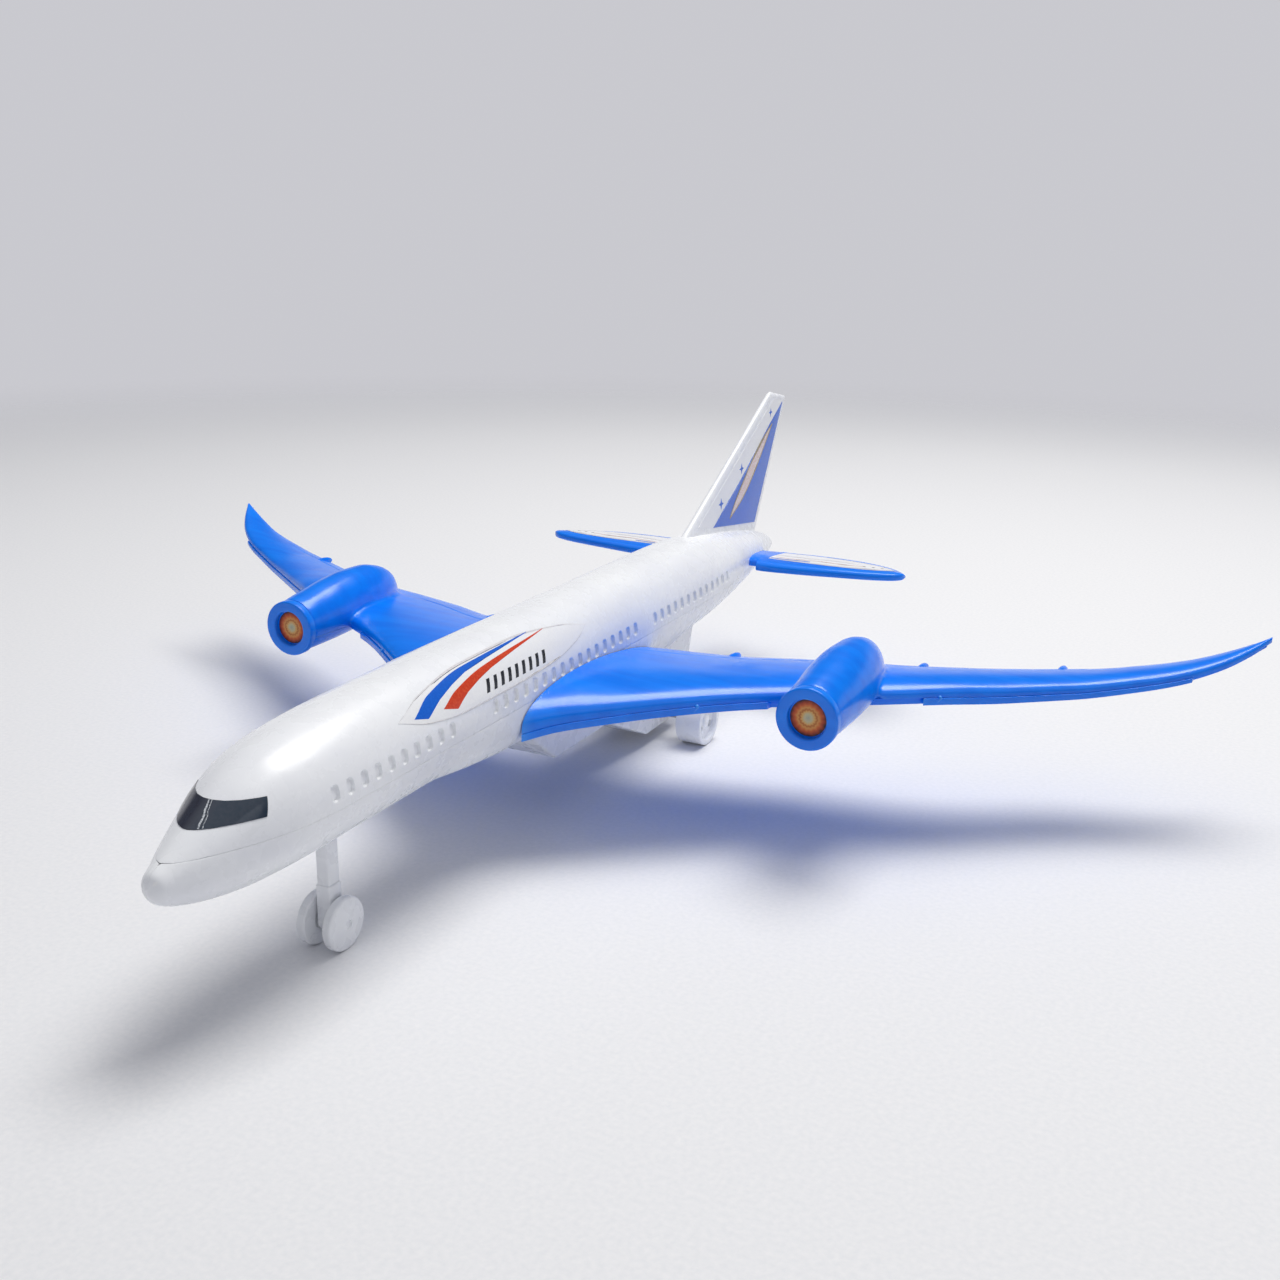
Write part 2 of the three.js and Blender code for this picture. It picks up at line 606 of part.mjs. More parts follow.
function buildWing(side, name) {
  const group = new THREE.Group();
  group.scale.x = side;
  root.add(group);
  const high = box(...ENGINE_BOX, ENGINE_SPLIT_Z, 80);
  const low = box(...ENGINE_BOX, 20, ENGINE_SPLIT_Z - GAP);
  const nacelle = nacelleBody(0);
  const hollow = nacelleBody(-WING_WALL, -Infinity, NACELLE_HOLLOW_END);
  const hollowFront = hollow.add(hollow.translate([0, -1, 0]));
  const tongue = box(TONGUE.inner, TONGUE.outer, TONGUE.y0, TONGUE.y1, TONGUE.z0, TONGUE.z1);
  const upperNacelle = nacelle.intersect(high);
  const fairings = unite(TRACK_FAIRINGS.map(trackFairing));
  const rib = wingEnvelope().intersect(box(...ROOT_RIB, ...WING_BOX));
  const floor = wingEnvelope().translate([0, 0, GAP - 0.001]);
  const upper = wingShell()
    .add(rib.intersect(floor))
    .add(upperNacelle)
    .subtract(hollowFront)
    .add(tongue);
  const taken = wingEnvelope().add(nacelle.intersect(high.translate([0, 0, -GAP])));
  const tongueRoom = box(0, TONGUE.outer + GAP, TONGUE.y0 - GAP, TONGUE.y1 + GAP, TONGUE.z0 - GAP,
    TONGUE.z1 + GAP);
  const lower = wingCover()
    .add(nacelle.intersect(low))
    .add(fairings)
    .subtract(hollowFront)
    .subtract(taken)
    .subtract(tongueRoom);
  addMesh("wing_" + name, upper, BLUE, group);
  addMesh("wing_cover_" + name, lower, BLUE, group);

  const back = ENGINE.front + ENGINE.ringLength;
  const floorY = ENGINE.front + ENGINE.recess;
  const ringProfile = [
    [0, floorY],
    [ENGINE.hole, floorY],
    [ENGINE.hole + 0.1, ENGINE.front + 0.3],
    [ENGINE.hole + 0.5, ENGINE.front],
    [ENGINE.ring - 0.8, ENGINE.front],
    [ENGINE.ring, ENGINE.front + 0.8],
    [ENGINE.ring, back],
    [0, back],
  ];
  const lathe = new THREE.LatheGeometry(ringProfile.map(([r, y]) => new THREE.Vector2(r, y)), 28);
  addMesh("engine_intake_" + name, solidOf(lathe.translate(ENGINE.x, 0, ENGINE.z)), BLUE, group);
  const disc = new THREE.CylinderGeometry(ENGINE.hole - GAP, ENGINE.hole - GAP, ENGINE_PAPER, 28);
  disc.translate(ENGINE.x, floorY - GAP - ENGINE_PAPER / 2, ENGINE.z);
  addMesh("engine_sticker_" + name, solidOf(disc), ENGINE_PRINT, group);
}

// ---------- tail ----------
// The fin's section outline at a height, grown by a distance.
function finBody(grow) {
  const rings = [];
  for (const level of FIN_LEVELS) {
    const front = THREE.MathUtils.lerp(FIN.baseFront[0], FIN.topFront[0], level);
    const back = THREE.MathUtils.lerp(FIN.baseBack[0], FIN.topBack[0], level);
    const frontZ = THREE.MathUtils.lerp(FIN.baseFront[1], FIN.topFront[1], level);
    const backZ = THREE.MathUtils.lerp(FIN.baseBack[1], FIN.topBack[1], level);
    const inset = level === 1 ? FIN_TOP_INSET : 0;
    const half = THREE.MathUtils.lerp(FIN_THICK.base, FIN_THICK.top, level) / 2 + grow - inset * 0.5;
    const side = FIN_SECTION.map(([s, thickness]) => {
      const y = THREE.MathUtils.lerp(front - grow + inset, back + grow - inset, s);
      return new THREE.Vector3(thickness * half, y, THREE.MathUtils.lerp(frontZ, backZ, s));
    });
    const mirrored = [...side].reverse().map((p) => new THREE.Vector3(-p.x, p.y, p.z));
    rings.push([...side, ...mirrored]);
  }
  return loft(rings, ["x", "y"]);
}

function buildFin() {
  const { half, y0, y1, z0, z1 } = FIN_TONGUE;
  const tongue = box(-half, half, y0, y1, z0, z1);
  const blade = finBody(0).subtract(fuselageClear);
  addMesh("fin", blade.add(tongue), WHITE);
  addMesh("fin_sticker_left", filmOn(finBody, plateX(FIN_FILM, 0.5, 6)), FILM);
  addMesh("fin_sticker_right", filmOn(finBody, plateX(FIN_FILM, -6, -0.5)), FILM);
}

// The tailplane, with a blunt leading edge and a thin trailing edge, grown upwards by a distance.
function tailplaneBody(grow) {
  const rings = TAILPLANE.map(([x, le, te, z, thick]) => {
    const chord = te - le;
    return [
      new THREE.Vector3(x, le + 0.7, z),
      new THREE.Vector3(x, le, z + 0.35 * thick),
      new THREE.Vector3(x, le + 0.35, z + 0.7 * thick + grow),
      new THREE.Vector3(x, le + 0.07 * chord, z + 0.96 * thick + grow),
      new THREE.Vector3(x, le + 0.3 * chord, z + thick + grow),
      new THREE.Vector3(x, le + 0.7 * chord, z + 0.7 * thick + grow),
      new THREE.Vector3(x, te, z + 0.35 * thick + grow),
      new THREE.Vector3(x, te, z),
    ];
  });
  return loft(rings, ["y", "z"]);
}

function buildTailplane(side, name) {
  const group = new THREE.Group();
  group.scale.x = side;
  root.add(group);
  const { inner, outer, y0, y1, z0, z1 } = TAIL_TONGUE;
  const blade = tailplaneBody(0).subtract(fuselageClear).add(box(inner, outer, y0, y1, z0, z1));
  addMesh("tailplane_" + name, blade, BLUE, group);
  const shape = new THREE.Shape(TAIL_FILM.map(([x, y]) => new THREE.Vector2(x, y)));
  const cutter = solidOf(new THREE.ExtrudeGeometry(shape, { depth: 10, bevelEnabled: false })
    .translate(0, 0, 52.8));
  addMesh("tailplane_sticker_" + name, filmOn(tailplaneBody, cutter), FILM, group);
}

// ---------- undercarriage ----------
function buildNoseGear() {
  const centre = [NOSE.y, NOSE.radius * Math.cos(Math.PI / WHEEL_SIDES)];
  const part = ([x, y], z0, z1) => box(-x, x, NOSE.y - y, NOSE.y + y, z0, z1);
  const upper = part(LEG.upper, ...LEG.upperZ);
  const lower = part(LEG.lower, centre[1], LEG.lowerTop);
  const foot = barX(-LEG.lower[0], LEG.lower[0], centre, LEG.lower[1]);
  const flange = part(LEG.flange, ...LEG.flangeZ);
  const bore = barX(-5, 5, centre, NOSE.axle + 0.2);
  const inside = fuselageBody(-WALL - GAP, ...HOLLOW_ENDS);
  const leg = unite([upper, lower, foot, flange.intersect(inside)]).subtract(bore);
  addMesh("nose_gear_strut", leg, WHITE);
  const axleHalf = NOSE.outer - NOSE.axleEnd;
  addMesh("nose_axle", barX(-axleHalf, axleHalf, centre, NOSE.axle), STEEL);
  const inner = NOSE.outer - NOSE.width;
  const profile = [
    [0, NOSE.outer],
    [NOSE.radius - 2.6, NOSE.outer - 0.15],
    [NOSE.radius - 0.7, NOSE.outer - 0.5],
    [NOSE.radius, NOSE.outer - 1.1],
    [NOSE.radius, inner + 0.3],
    [NOSE.radius - 0.3, inner],
    [NOSE.axle + GAP, inner],
    [NOSE.axle + GAP, NOSE.outer - 0.9],
    [0, NOSE.outer - 0.9],
  ];
  for (const [side, name] of [[1, "left"], [-1, "right"]]) {
    const wheel = addMesh("nose_wheel_" + name, turnedX(profile, centre, WHEEL_SIDES), WHITE);
    wheel.scale.x = side;
  }
}

function buildMainWheels() {
  const inner = MAIN.outer - MAIN.width;
  const bore = MAIN.axle + GAP;
  const { rim, web, hub, edge } = MAIN_WHEEL;
  const under = (depth) => MAIN.outer - depth;
  const profile = [
    [0, under(MAIN_WHEEL.capDepth)],
    [hub - 0.2, under(MAIN_WHEEL.capDepth)],
    [hub, under(MAIN_WHEEL.webDepth)],
    [web, under(MAIN_WHEEL.webDepth)],
    [rim, under(0)],
    [MAIN.radius - edge, under(0)],
    [MAIN.radius, under(edge)],
    [MAIN.radius, inner + edge],
    [MAIN.radius - edge, inner],
    [rim + 0.4, inner],
    [rim + 0.2, under(MAIN_WHEEL.skirtDepth)],
    [hub + 0.2, under(MAIN_WHEEL.skirtDepth)],
    [hub + 0.2, inner],
    [bore, inner],
    [bore, under(MAIN_WHEEL.boreDepth)],
    [0, under(MAIN_WHEEL.boreDepth)],
  ];
  let wheel = turnedX(profile, AXLE_YZ, WHEEL_SIDES);
  for (let i = 0; i < MAIN_WHEEL.holes; i++) {
    const angle = Math.PI / 2 + (i * 2 * Math.PI) / MAIN_WHEEL.holes;
    const y = AXLE_YZ[0] + MAIN_WHEEL.holeCircle * Math.cos(angle);
    const z = AXLE_YZ[1] + MAIN_WHEEL.holeCircle * Math.sin(angle);
    wheel = wheel.subtract(barX(MAIN.outer - 5, MAIN.outer + 1, [y, z], MAIN_WHEEL.holeRadius, 10));
  }
  for (const [side, name] of [[1, "left"], [-1, "right"]]) {
    addMesh("main_wheel_" + name, wheel, WHITE).scale.x = side;
  }
  const axleHalf = MAIN.outer - AXLE_END;
  addMesh("main_axle", barX(-axleHalf, axleHalf, AXLE_YZ, MAIN.axle), STEEL);
}

// ---------- friction motor ----------
// Half the angle that a tooth takes at a radius, for an involute flank.
function toothHalfAngle(radius, teeth) {
  const pitchRadius = (MODULE * teeth) / 2;
  const baseRadius = pitchRadius * Math.cos(PRESSURE);
  const involute = (angle) => Math.tan(angle) - angle;
  const at = Math.acos(Math.min(1, baseRadius / Math.max(radius, baseRadius)));
  const atPitch = (Math.PI / 2 / teeth) * (1 - BACKLASH);
  return atPitch + involute(PRESSURE) - involute(at);
}

// A spur gear along X with a tooth (or a gap) pointing at an angle in the y, z plane.
function gear(teeth, [y, z], x0, x1, pointing, toothThere, boreRadius) {
  const pitchRadius = (MODULE * teeth) / 2;
  const radii = [pitchRadius - DEDENDUM, pitchRadius, pitchRadius + ADDENDUM];
  const outline = [];
  for (let i = 0; i < teeth; i++) {
    const middle = pointing + ((i + (toothThere ? 0 : 0.5)) * 2 * Math.PI) / teeth;
    const rise = radii.map((r) => [r, middle - toothHalfAngle(r, teeth)]);
    const fall = radii.map((r) => [r, middle + toothHalfAngle(r, teeth)]).reverse();
    for (const [r, angle] of [...rise, ...fall]) {
      outline.push([y + r * Math.cos(angle), z + r * Math.sin(angle)]);
    }
  }
  return plateX(outline, x0, x1).subtract(barX(x0 - 1, x1 + 1, [y, z], boreRadius, 12));
}

function buildMotor() {
  const shafts = [AXLE_YZ, IDLER_YZ, FLYWHEEL_YZ];
  const radii = [MAIN.axle, SHAFT.radius, SHAFT.radius];
  for (const [name, [x0, x1]] of [["left", PLATE_LEFT], ["right", PLATE_RIGHT]]) {
    let plate = plateX(PLATE_OUTLINE, x0, x1);
    shafts.forEach((centre, i) => {
      plate = plate.subtract(barX(x0 - 1, x1 + 1, centre, radii[i] + 0.2, 16));
    });
    addMesh("motor_plate_" + name, plate, MOTOR_PLASTIC);
  }
  PILLARS.forEach((centre, i) => {
    const pillar = barX(PLATE_RIGHT[1] + GAP, PLATE_LEFT[0] - GAP, centre, PILLAR_RADIUS, 12);
    addMesh("motor_pillar_" + (i + 1), pillar, STEEL);
  });
  const axleGear = gear(TEETH.axle, AXLE_YZ, ...GEAR_X.axle, IDLER_ANGLE, true, MAIN.axle + 0.25);
  const pinion = gear(TEETH.idlerPinion, IDLER_YZ, ...GEAR_X.idlerPinion, IDLER_ANGLE, false, SHAFT.bore);
  const wheel = gear(TEETH.idlerGear, IDLER_YZ, ...GEAR_X.idlerGear, FLYWHEEL_ANGLE, true, SHAFT.bore);
  const flywheelPinion = gear(TEETH.flywheelPinion, FLYWHEEL_YZ, ...GEAR_X.flywheelPinion,
    FLYWHEEL_ANGLE + Math.PI, false, SHAFT.bore);
  addMesh("axle_gear", axleGear, MOTOR_PLASTIC);
  addMesh("idler_gear", pinion.add(wheel), MOTOR_PLASTIC);
  addMesh("idler_shaft", barX(SHAFT.from, SHAFT.idlerTo, IDLER_YZ, SHAFT.radius, 12), STEEL);
  addMesh("flywheel_pinion", flywheelPinion, BRASS);
  const flywheelShaft = barX(SHAFT.from, FLYWHEEL.to - FLYWHEEL.shaftEnd, FLYWHEEL_YZ, SHAFT.radius, 12);
  addMesh("flywheel_shaft", flywheelShaft, STEEL);
  const { radius, from, to, bore, edge } = FLYWHEEL;
  const profile = [
    [bore, from],
    [bore, to],
    [radius - edge, to],
    [radius, to - edge],
    [radius, from + edge],
    [radius - edge, from],
    [bore, from],
  ];
  addMesh("flywheel", turnedX(profile, FLYWHEEL_YZ, WHEEL_SIDES), STEEL);
}

function buildHousing() {
  const innerHalf = HOUSING_HALF - HOUSING_WALL;
  const room = plateX(HOUSING_INNER, -innerHalf, innerHalf);
  let housing = plateX(HOUSING, -HOUSING_HALF, HOUSING_HALF).subtract(room);
  for (const [y, floor] of HOUSING_SCREWS) {
    const well = barZ(0, y, 0, HOUSING_SEAT_Z, COUNTERBORE);
    housing = housing.add(barZ(0, y, floor + 0.4, 40, BOSS));
    housing = housing.subtract(barZ(0, y, 0, 42, SCREW_PASSAGE)).subtract(well);
  }
  const axleRoom = barX(-20, 20, AXLE_YZ, MAIN.axle + 0.35, 16);
  const { half, top } = GEAR_SLOT;
  const gearSlot = box(...GEAR_SLOT.x, AXLE_YZ[0] - half, AXLE_YZ[0] + half, 0, top);
  housing = housing.subtract(fuselageClear).subtract(axleRoom).subtract(gearSlot);
  addMesh("belly_housing", housing, WHITE);
}

// A pan-head tapping screw standing on its head, with a cross recess.
function screw(y, headZ) {
  const profile = [
    [0, 0],
    [SCREW.head - SCREW.round, 0],
    [SCREW.head, SCREW.round],
    [SCREW.head, SCREW.headHeight],
    [SCREW.shank, SCREW.headHeight],
    [SCREW.shank, SCREW.length - SCREW.point],
    [0, SCREW.length],
  ];
  const lathe = new THREE.LatheGeometry(profile.map(([r, z]) => new THREE.Vector2(r, z)), 12);
  const { arm, half, depth } = CROSS;
  const recess = box(-arm, arm, -half, half, -1, depth).add(box(-half, half, -arm, arm, -1, depth));
  return solidOf(lathe.rotateX(Math.PI / 2)).subtract(recess).translate([0, y, headZ]);
}

function buildScrews() {
  SHELL_SCREWS_Y.forEach((y, i) => {
    const seat = fuselageAt(y, 2) + COUNTERBORE_DEPTH - GAP - SCREW.headHeight;
    addMesh(i === 0 ? "shell_screw_front" : "shell_screw_rear", screw(y, seat), STEEL);
  });
  HOUSING_SCREWS.forEach(([y], i) => {
    const seat = HOUSING_SEAT_Z - GAP - SCREW.headHeight;
    addMesh(i === 0 ? "housing_screw_front" : "housing_screw_rear", screw(y, seat), STEEL);
  });
}

// ---------- assembly ----------
addMesh("fuselage_upper_shell", buildUpperShell(), WHITE);
addMesh("fuselage_lower_shell", buildLowerShell(), WHITE);
buildFuselageFilms();
buildWing(1, "left");
buildWing(-1, "right");
buildFin();
buildTailplane(1, "left");
buildTailplane(-1, "right");
buildNoseGear();
buildHousing();
buildMainWheels();
buildMotor();
buildScrews();

export default root;
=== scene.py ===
"""Looks of a friction-driven toy airliner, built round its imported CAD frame.

Lengths are millimetres until a mesh is made, and metres after that. +Z is up, the nose points along -Y and the
port wing lies along +X.
"""

import logging
import math
from dataclasses import dataclass, field
from enum import Enum
from typing import Callable, Sequence, Union

import bmesh
import bpy
import numpy as np
from mathutils import Euler, Matrix, Vector
from mathutils.kdtree import KDTree


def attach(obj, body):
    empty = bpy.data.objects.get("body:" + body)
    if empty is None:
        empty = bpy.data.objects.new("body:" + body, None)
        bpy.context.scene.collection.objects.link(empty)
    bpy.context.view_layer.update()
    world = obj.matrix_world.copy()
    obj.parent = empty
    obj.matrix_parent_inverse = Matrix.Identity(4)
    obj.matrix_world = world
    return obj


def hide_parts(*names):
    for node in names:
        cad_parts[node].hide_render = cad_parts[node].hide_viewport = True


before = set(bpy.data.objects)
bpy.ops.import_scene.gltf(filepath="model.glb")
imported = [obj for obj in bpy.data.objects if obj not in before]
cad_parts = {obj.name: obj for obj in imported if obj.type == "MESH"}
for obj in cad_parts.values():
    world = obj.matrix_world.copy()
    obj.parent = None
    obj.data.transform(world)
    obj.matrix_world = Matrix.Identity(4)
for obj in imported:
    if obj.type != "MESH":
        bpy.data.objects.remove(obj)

LOG = logging.getLogger("airliner")
MM = 0.001
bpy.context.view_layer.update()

Value = Union[float, tuple, bpy.types.NodeSocket]
Surface = Callable[[np.ndarray, np.ndarray, float], np.ndarray]


class Body(Enum):
    """The CAD bodies that pieces ride on."""

    AIRFRAME = "airframe"
    MAIN_WHEELS = "main_wheels"
    NOSE_WHEELS = "nose_wheels"


class Side(Enum):
    """The two sides of the airliner, with the sign of X."""

    LEFT = 1
    RIGHT = -1

    @property
    def word(self) -> str:
        """The side's word in piece and node names."""
        return self.name.lower()


class Cut(Enum):
    """The boolean operations between two closed meshes."""

    JOIN = "UNION"
    REMOVE = "DIFFERENCE"


# ---------------------------------------------------------------- numbers and curves


def linear(colour: str) -> tuple[float, float, float, float]:
    """Turns an sRGB hex colour to linear RGBA.

    Args:
        colour: six hex digits after a hash.

    Returns:
        The linear red, green and blue, and an alpha of 1.
    """
    shares = [int(colour[i : i + 2], 16) / 255 for i in (1, 3, 5)]
    red, green, blue = (s / 12.92 if s <= 0.04045 else ((s + 0.055) / 1.055) ** 2.4 for s in shares)
    return red, green, blue, 1.0


def smoothstep(low: float, high: float, value: np.ndarray) -> np.ndarray:
    """Rises from 0 at low to 1 at high with level ends.

    Args:
        low: where it is 0.
        high: where it is 1; it may be under low.
        value: where it is wanted.

    Returns:
        The smooth share at each value.
    """
    share = np.clip((value - low) / (high - low), 0, 1)
    return share * share * (3 - 2 * share)


def monotone(table: np.ndarray, at: np.ndarray) -> np.ndarray:
    """Reads a table along a smooth curve that never overshoots its rows.

    Args:
        table: rows of a position and the values there.
        at: the positions wanted.

    Returns:
        One row of values for each position.
    """
    place, values = table[:, 0], table[:, 1:]
    step = np.diff(place)[:, None]
    slope = np.diff(values, axis=0) / step
    before, after = slope[:-1], slope[1:]
    total = np.where(before + after == 0, 1, before + after)
    middle = np.where(before * after > 0, 2 * before * after / total, 0)
    tangent = np.vstack([slope[:1], middle, slope[-1:]])
    i = np.clip(np.searchsorted(place, at, "right") - 1, 0, len(place) - 2)
    t = ((np.clip(at, place[0], place[-1]) - place[i]) / step[i, 0])[:, None]
    start = (1 + 2 * t) * (1 - t) ** 2 * values[i] + t * (1 - t) ** 2 * step[i] * tangent[i]
    end = t * t * (3 - 2 * t) * values[i + 1] + t * t * (t - 1) * step[i] * tangent[i + 1]
    return start + end


def spline(points: Sequence[tuple[float, float]], count: int) -> np.ndarray:
    """Draws a smooth curve through a few points of a plane.

    Args:
        points: the points that it passes.
        count: how many points it gets.

    Returns:
        Evenly spread points of the curve, (count, 2).
    """
    known = np.array(points, float)
    gaps = np.linalg.norm(np.diff(known, axis=0), axis=1)
    along = np.concatenate([[0], np.cumsum(gaps)])
    return monotone(np.column_stack([along, known]), np.linspace(0, along[-1], count))


def straight(points: Sequence[tuple[float, float]], count: int) -> np.ndarray:
    """Draws straight lines through a few points of a plane.

    Args:
        points: the corners.
        count: how many points the line gets.

    Returns:
        Evenly spread points of the line, (count, 2).
    """
    known = np.array(points, float)
    gaps = np.linalg.norm(np.diff(known, axis=0), axis=1)
    along = np.concatenate([[0], np.cumsum(gaps)])
    at = np.linspace(0, along[-1], count)
    return np.column_stack([np.interp(at, along, known[:, i]) for i in (0, 1)])


def arc(centre: tuple[float, float], radius: float, first: float, last: float, count: int) -> list:
    """Draws an arc of a circle.

    Args:
        centre: its centre.
        radius: its radius.
        first: the angle that it starts at, in degrees.
        last: the angle that it ends at, in degrees.
        count: how many points it gets.

    Returns:
        The arc's points.
    """
    angles = np.radians(np.linspace(first, last, count))
    return [(centre[0] + radius * math.cos(a), centre[1] + radius * math.sin(a)) for a in angles]


# ---------------------------------------------------------------- meshes


@dataclass
class Shape:
    """A closed mesh under construction, in millimetres."""

    points: list = field(default_factory=list)
    faces: list = field(default_factory=list)
    inks: list = field(default_factory=list)

    def add(self, points: np.ndarray, faces: Sequence[Sequence[int]], ink: int = 0) -> "Shape":
        """Adds a closed part, and turns its faces out.

        Args:
            points: the points, (n, 3).
            faces: each face's places in points, all turned in or all turned out.
            ink: the material slot of the faces.

        Returns:
            This shape.
        """
        base = len(self.points)
        points = np.asarray(points, float).reshape(-1, 3)
        volume = 0.0
        for size in {len(face) for face in faces}:
            corners = points[[face for face in faces if len(face) == size]]
            volume += np.einsum("ijk,ik->", np.cross(corners[:, 1:-1], corners[:, 2:]), corners[:, 0])
        # a closed part with its faces turned in has a negative volume
        turn = 1 if volume > 0 else -1
        self.points.extend(points.tolist())
        self.faces.extend([base + i for i in face[::turn]] for face in faces)
        self.inks.extend([ink] * len(faces))
        return self

    def loft(self, rings: np.ndarray, ink: int = 0) -> "Shape":
        """Adds a capped body through closed rings.

        Args:
            rings: the rings' points, (rings, points of a ring, 3).
            ink: the material slot of the faces.

        Returns:
            This shape.
        """
        count, size = rings.shape[:2]
        faces = []
        for r in range(count - 1):
            for i in range(size):
                a, b = r * size + i, r * size + (i + 1) % size
                faces.append((a, b, b + size, a + size))
        faces.append(tuple(range(size))[::-1])
        faces.append(tuple(range((count - 1) * size, count * size)))
        return self.add(rings, faces, ink)

    def slab(self, surface: Surface, edges: tuple, across: int, lifts: tuple, ink: int = 0) -> "Shape":
        """Adds a thin sheet that follows a surface between two edges.

        Args:
            surface: gives a point of space from the edges' two coordinates and a lift.
            edges: two edges of the sheet, each (n, 2).
            across: how many rows the sheet has between its edges.
            lifts: how far its underside and its face stand off the surface.
            ink: the material slot of the faces.

        Returns:
            This shape.
        """
        share = np.linspace(0, 1, across)[:, None, None]
        plan = edges[0] * (1 - share) + edges[1] * share
        low, high = (surface(plan[..., 0], plan[..., 1], lift) for lift in lifts)
        rings = np.concatenate([high, low[:, ::-1]], axis=1)
        return self.loft(rings, ink)

    def turned(self, profile: Sequence[tuple[float, float]], place: tuple, axis: str, sides: int,
               ink: int = 0) -> "Shape":
        """Adds a profile turned about an axis.

        Args:
            profile: points of radius and distance along the axis; a radius of 0 lies on the axis.
            place: a point of the axis, (x, y, z); the profile's distances start from it.
            axis: X, Y or Z.
            sides: how many steps the turn has.
            ink: the material slot of the faces.

        Returns:
            This shape.
        """
        order = {"X": (2, 0, 1), "Y": (1, 2, 0), "Z": (0, 1, 2)}[axis]
        angle = np.arange(sides) * 2 * math.pi / sides
        rings = []
        for radius, along in profile:
            circle = np.column_stack([np.cos(angle) * max(radius, 1e-4), np.sin(angle) * max(radius, 1e-4),
                                      np.full(sides, along)])
            rings.append(circle[:, order] + np.array(place))
        return self.loft(np.array(rings), ink)

    def piece(self, name: str, sharp: float = 32.0) -> bpy.types.Object:
        """Makes the Blender object, in metres.

        Args:
            name: the object's name.
            sharp: the angle between faces, in degrees, from which an edge shades hard.

        Returns:
            The object, linked to the scene.
        """
        mesh = bpy.data.meshes.new(name)
        mesh.from_pydata((np.array(self.points) * MM).tolist(), [], self.faces)
        mesh.polygons.foreach_set("material_index", self.inks)
        tidy = bmesh.new()
        tidy.from_mesh(mesh)
        bmesh.ops.remove_doubles(tidy, verts=tidy.verts, dist=1e-7)
        tidy.to_mesh(mesh)
        tidy.free()
        made = bpy.data.objects.new(name, mesh)
        bpy.context.scene.collection.objects.link(made)
        shade(made, sharp)
        return made


def shade(made: bpy.types.Object, sharp: float) -> None:
    """Shades an object smoothly, apart from its hard edges.

    Args:
        made: the object.
        sharp: the angle between faces, in degrees, from which an edge shades hard.
    """
    made.data.polygons.foreach_set("use_smooth", [True] * len(made.data.polygons))
    made.data.set_sharp_from_angle(angle=math.radians(sharp))


def combine(made: bpy.types.Object, tool: bpy.types.Object, cut: Cut, sharp: float = 32.0) -> bpy.types.Object:
    """Joins a closed mesh to another, or cuts it away, and deletes it.

    Args:
        made: the object that is kept.
        tool: the object that is used up.
        cut: whether to join or remove.
        sharp: the hard-edge angle afterwards, in degrees.

    Returns:
        The kept object.
    """
    modifier = made.modifiers.new("cut", "BOOLEAN")
    modifier.object, modifier.operation, modifier.solver = tool, cut.value, "EXACT"
    bpy.context.view_layer.update()
    result = bpy.data.meshes.new_from_object(made.evaluated_get(bpy.context.evaluated_depsgraph_get()))
    made.modifiers.clear()
    made.data = result
    bpy.data.objects.remove(tool)
    shade(made, sharp)
    return made


def soften_creases(made: bpy.types.Object, reach: float, rounds: int, low: Vector, high: Vector) -> None:
    """Rounds the inner corners that a join leaves, as the radius of a mould does.

    Args:
        made: the joined object.
        reach: how far from the corner the surface moves, in millimetres.
        rounds: how many times the surface is relaxed.
        low: the lowest corner of the region, in millimetres.
        high: the highest corner of the region, in millimetres.
    """
    work = bmesh.new()
    work.from_mesh(made.data)
    work.verts.ensure_lookup_table()

    def inside(point: Vector) -> bool:
        """Whether a point in metres lies in the region."""
        return all(low[i] * MM < point[i] < high[i] * MM for i in range(3))

    def hollow(edge: bmesh.types.BMEdge) -> bool:
        """Whether an edge is a sharp inner corner."""
        return len(edge.link_faces) == 2 and not edge.is_convex and edge.calc_face_angle() > math.radians(18)

    seeds = [e for e in work.edges if hollow(e) and inside(e.verts[0].co)]
    tree = KDTree(len(seeds) or 1)
    for i, edge in enumerate(seeds):
        tree.insert((edge.verts[0].co + edge.verts[1].co) / 2, i)
    tree.balance()
    weights = {}
    for vertex in work.verts if seeds else []:
        if inside(vertex.co):
            distance = tree.find(vertex.co)[2] / (reach * MM)
            if distance < 1:
                weights[vertex] = (1 - distance) ** 2 * 0.7
    for _ in range(rounds):
        moved = {}
        for vertex, weight in weights.items():
            near = [edge.other_vert(vertex).co for edge in vertex.link_edges]
            moved[vertex] = vertex.co.lerp(sum(near, Vector()) / len(near), weight)
        for vertex, place in moved.items():
            vertex.co = place
    work.to_mesh(made.data)
    work.free()


def block(low: tuple, high: tuple, radius: float, name: str = "tool") -> bpy.types.Object:
    """Makes a box with rounded edges.

    Args:
        low: its lowest corner.
        high: its highest corner.
        radius: the radius of its edges.
        name: the object's name.

    Returns:
        The box.
    """
    work = bmesh.new()
    size = Vector(high) - Vector(low)
    centre = (Vector(high) + Vector(low)) / 2
    bmesh.ops.create_cube(work, size=1, matrix=Matrix.Translation(centre * MM) @ Matrix.Diagonal((*(size * MM), 1)))
    bmesh.ops.bevel(work, geom=work.edges[:], offset=radius * MM, segments=4, profile=0.5, affect="EDGES")
    mesh = bpy.data.meshes.new(name)
    work.to_mesh(mesh)
    work.free()
    made = bpy.data.objects.new(name, mesh)
    bpy.context.scene.collection.objects.link(made)
    shade(made, 40)
    return made


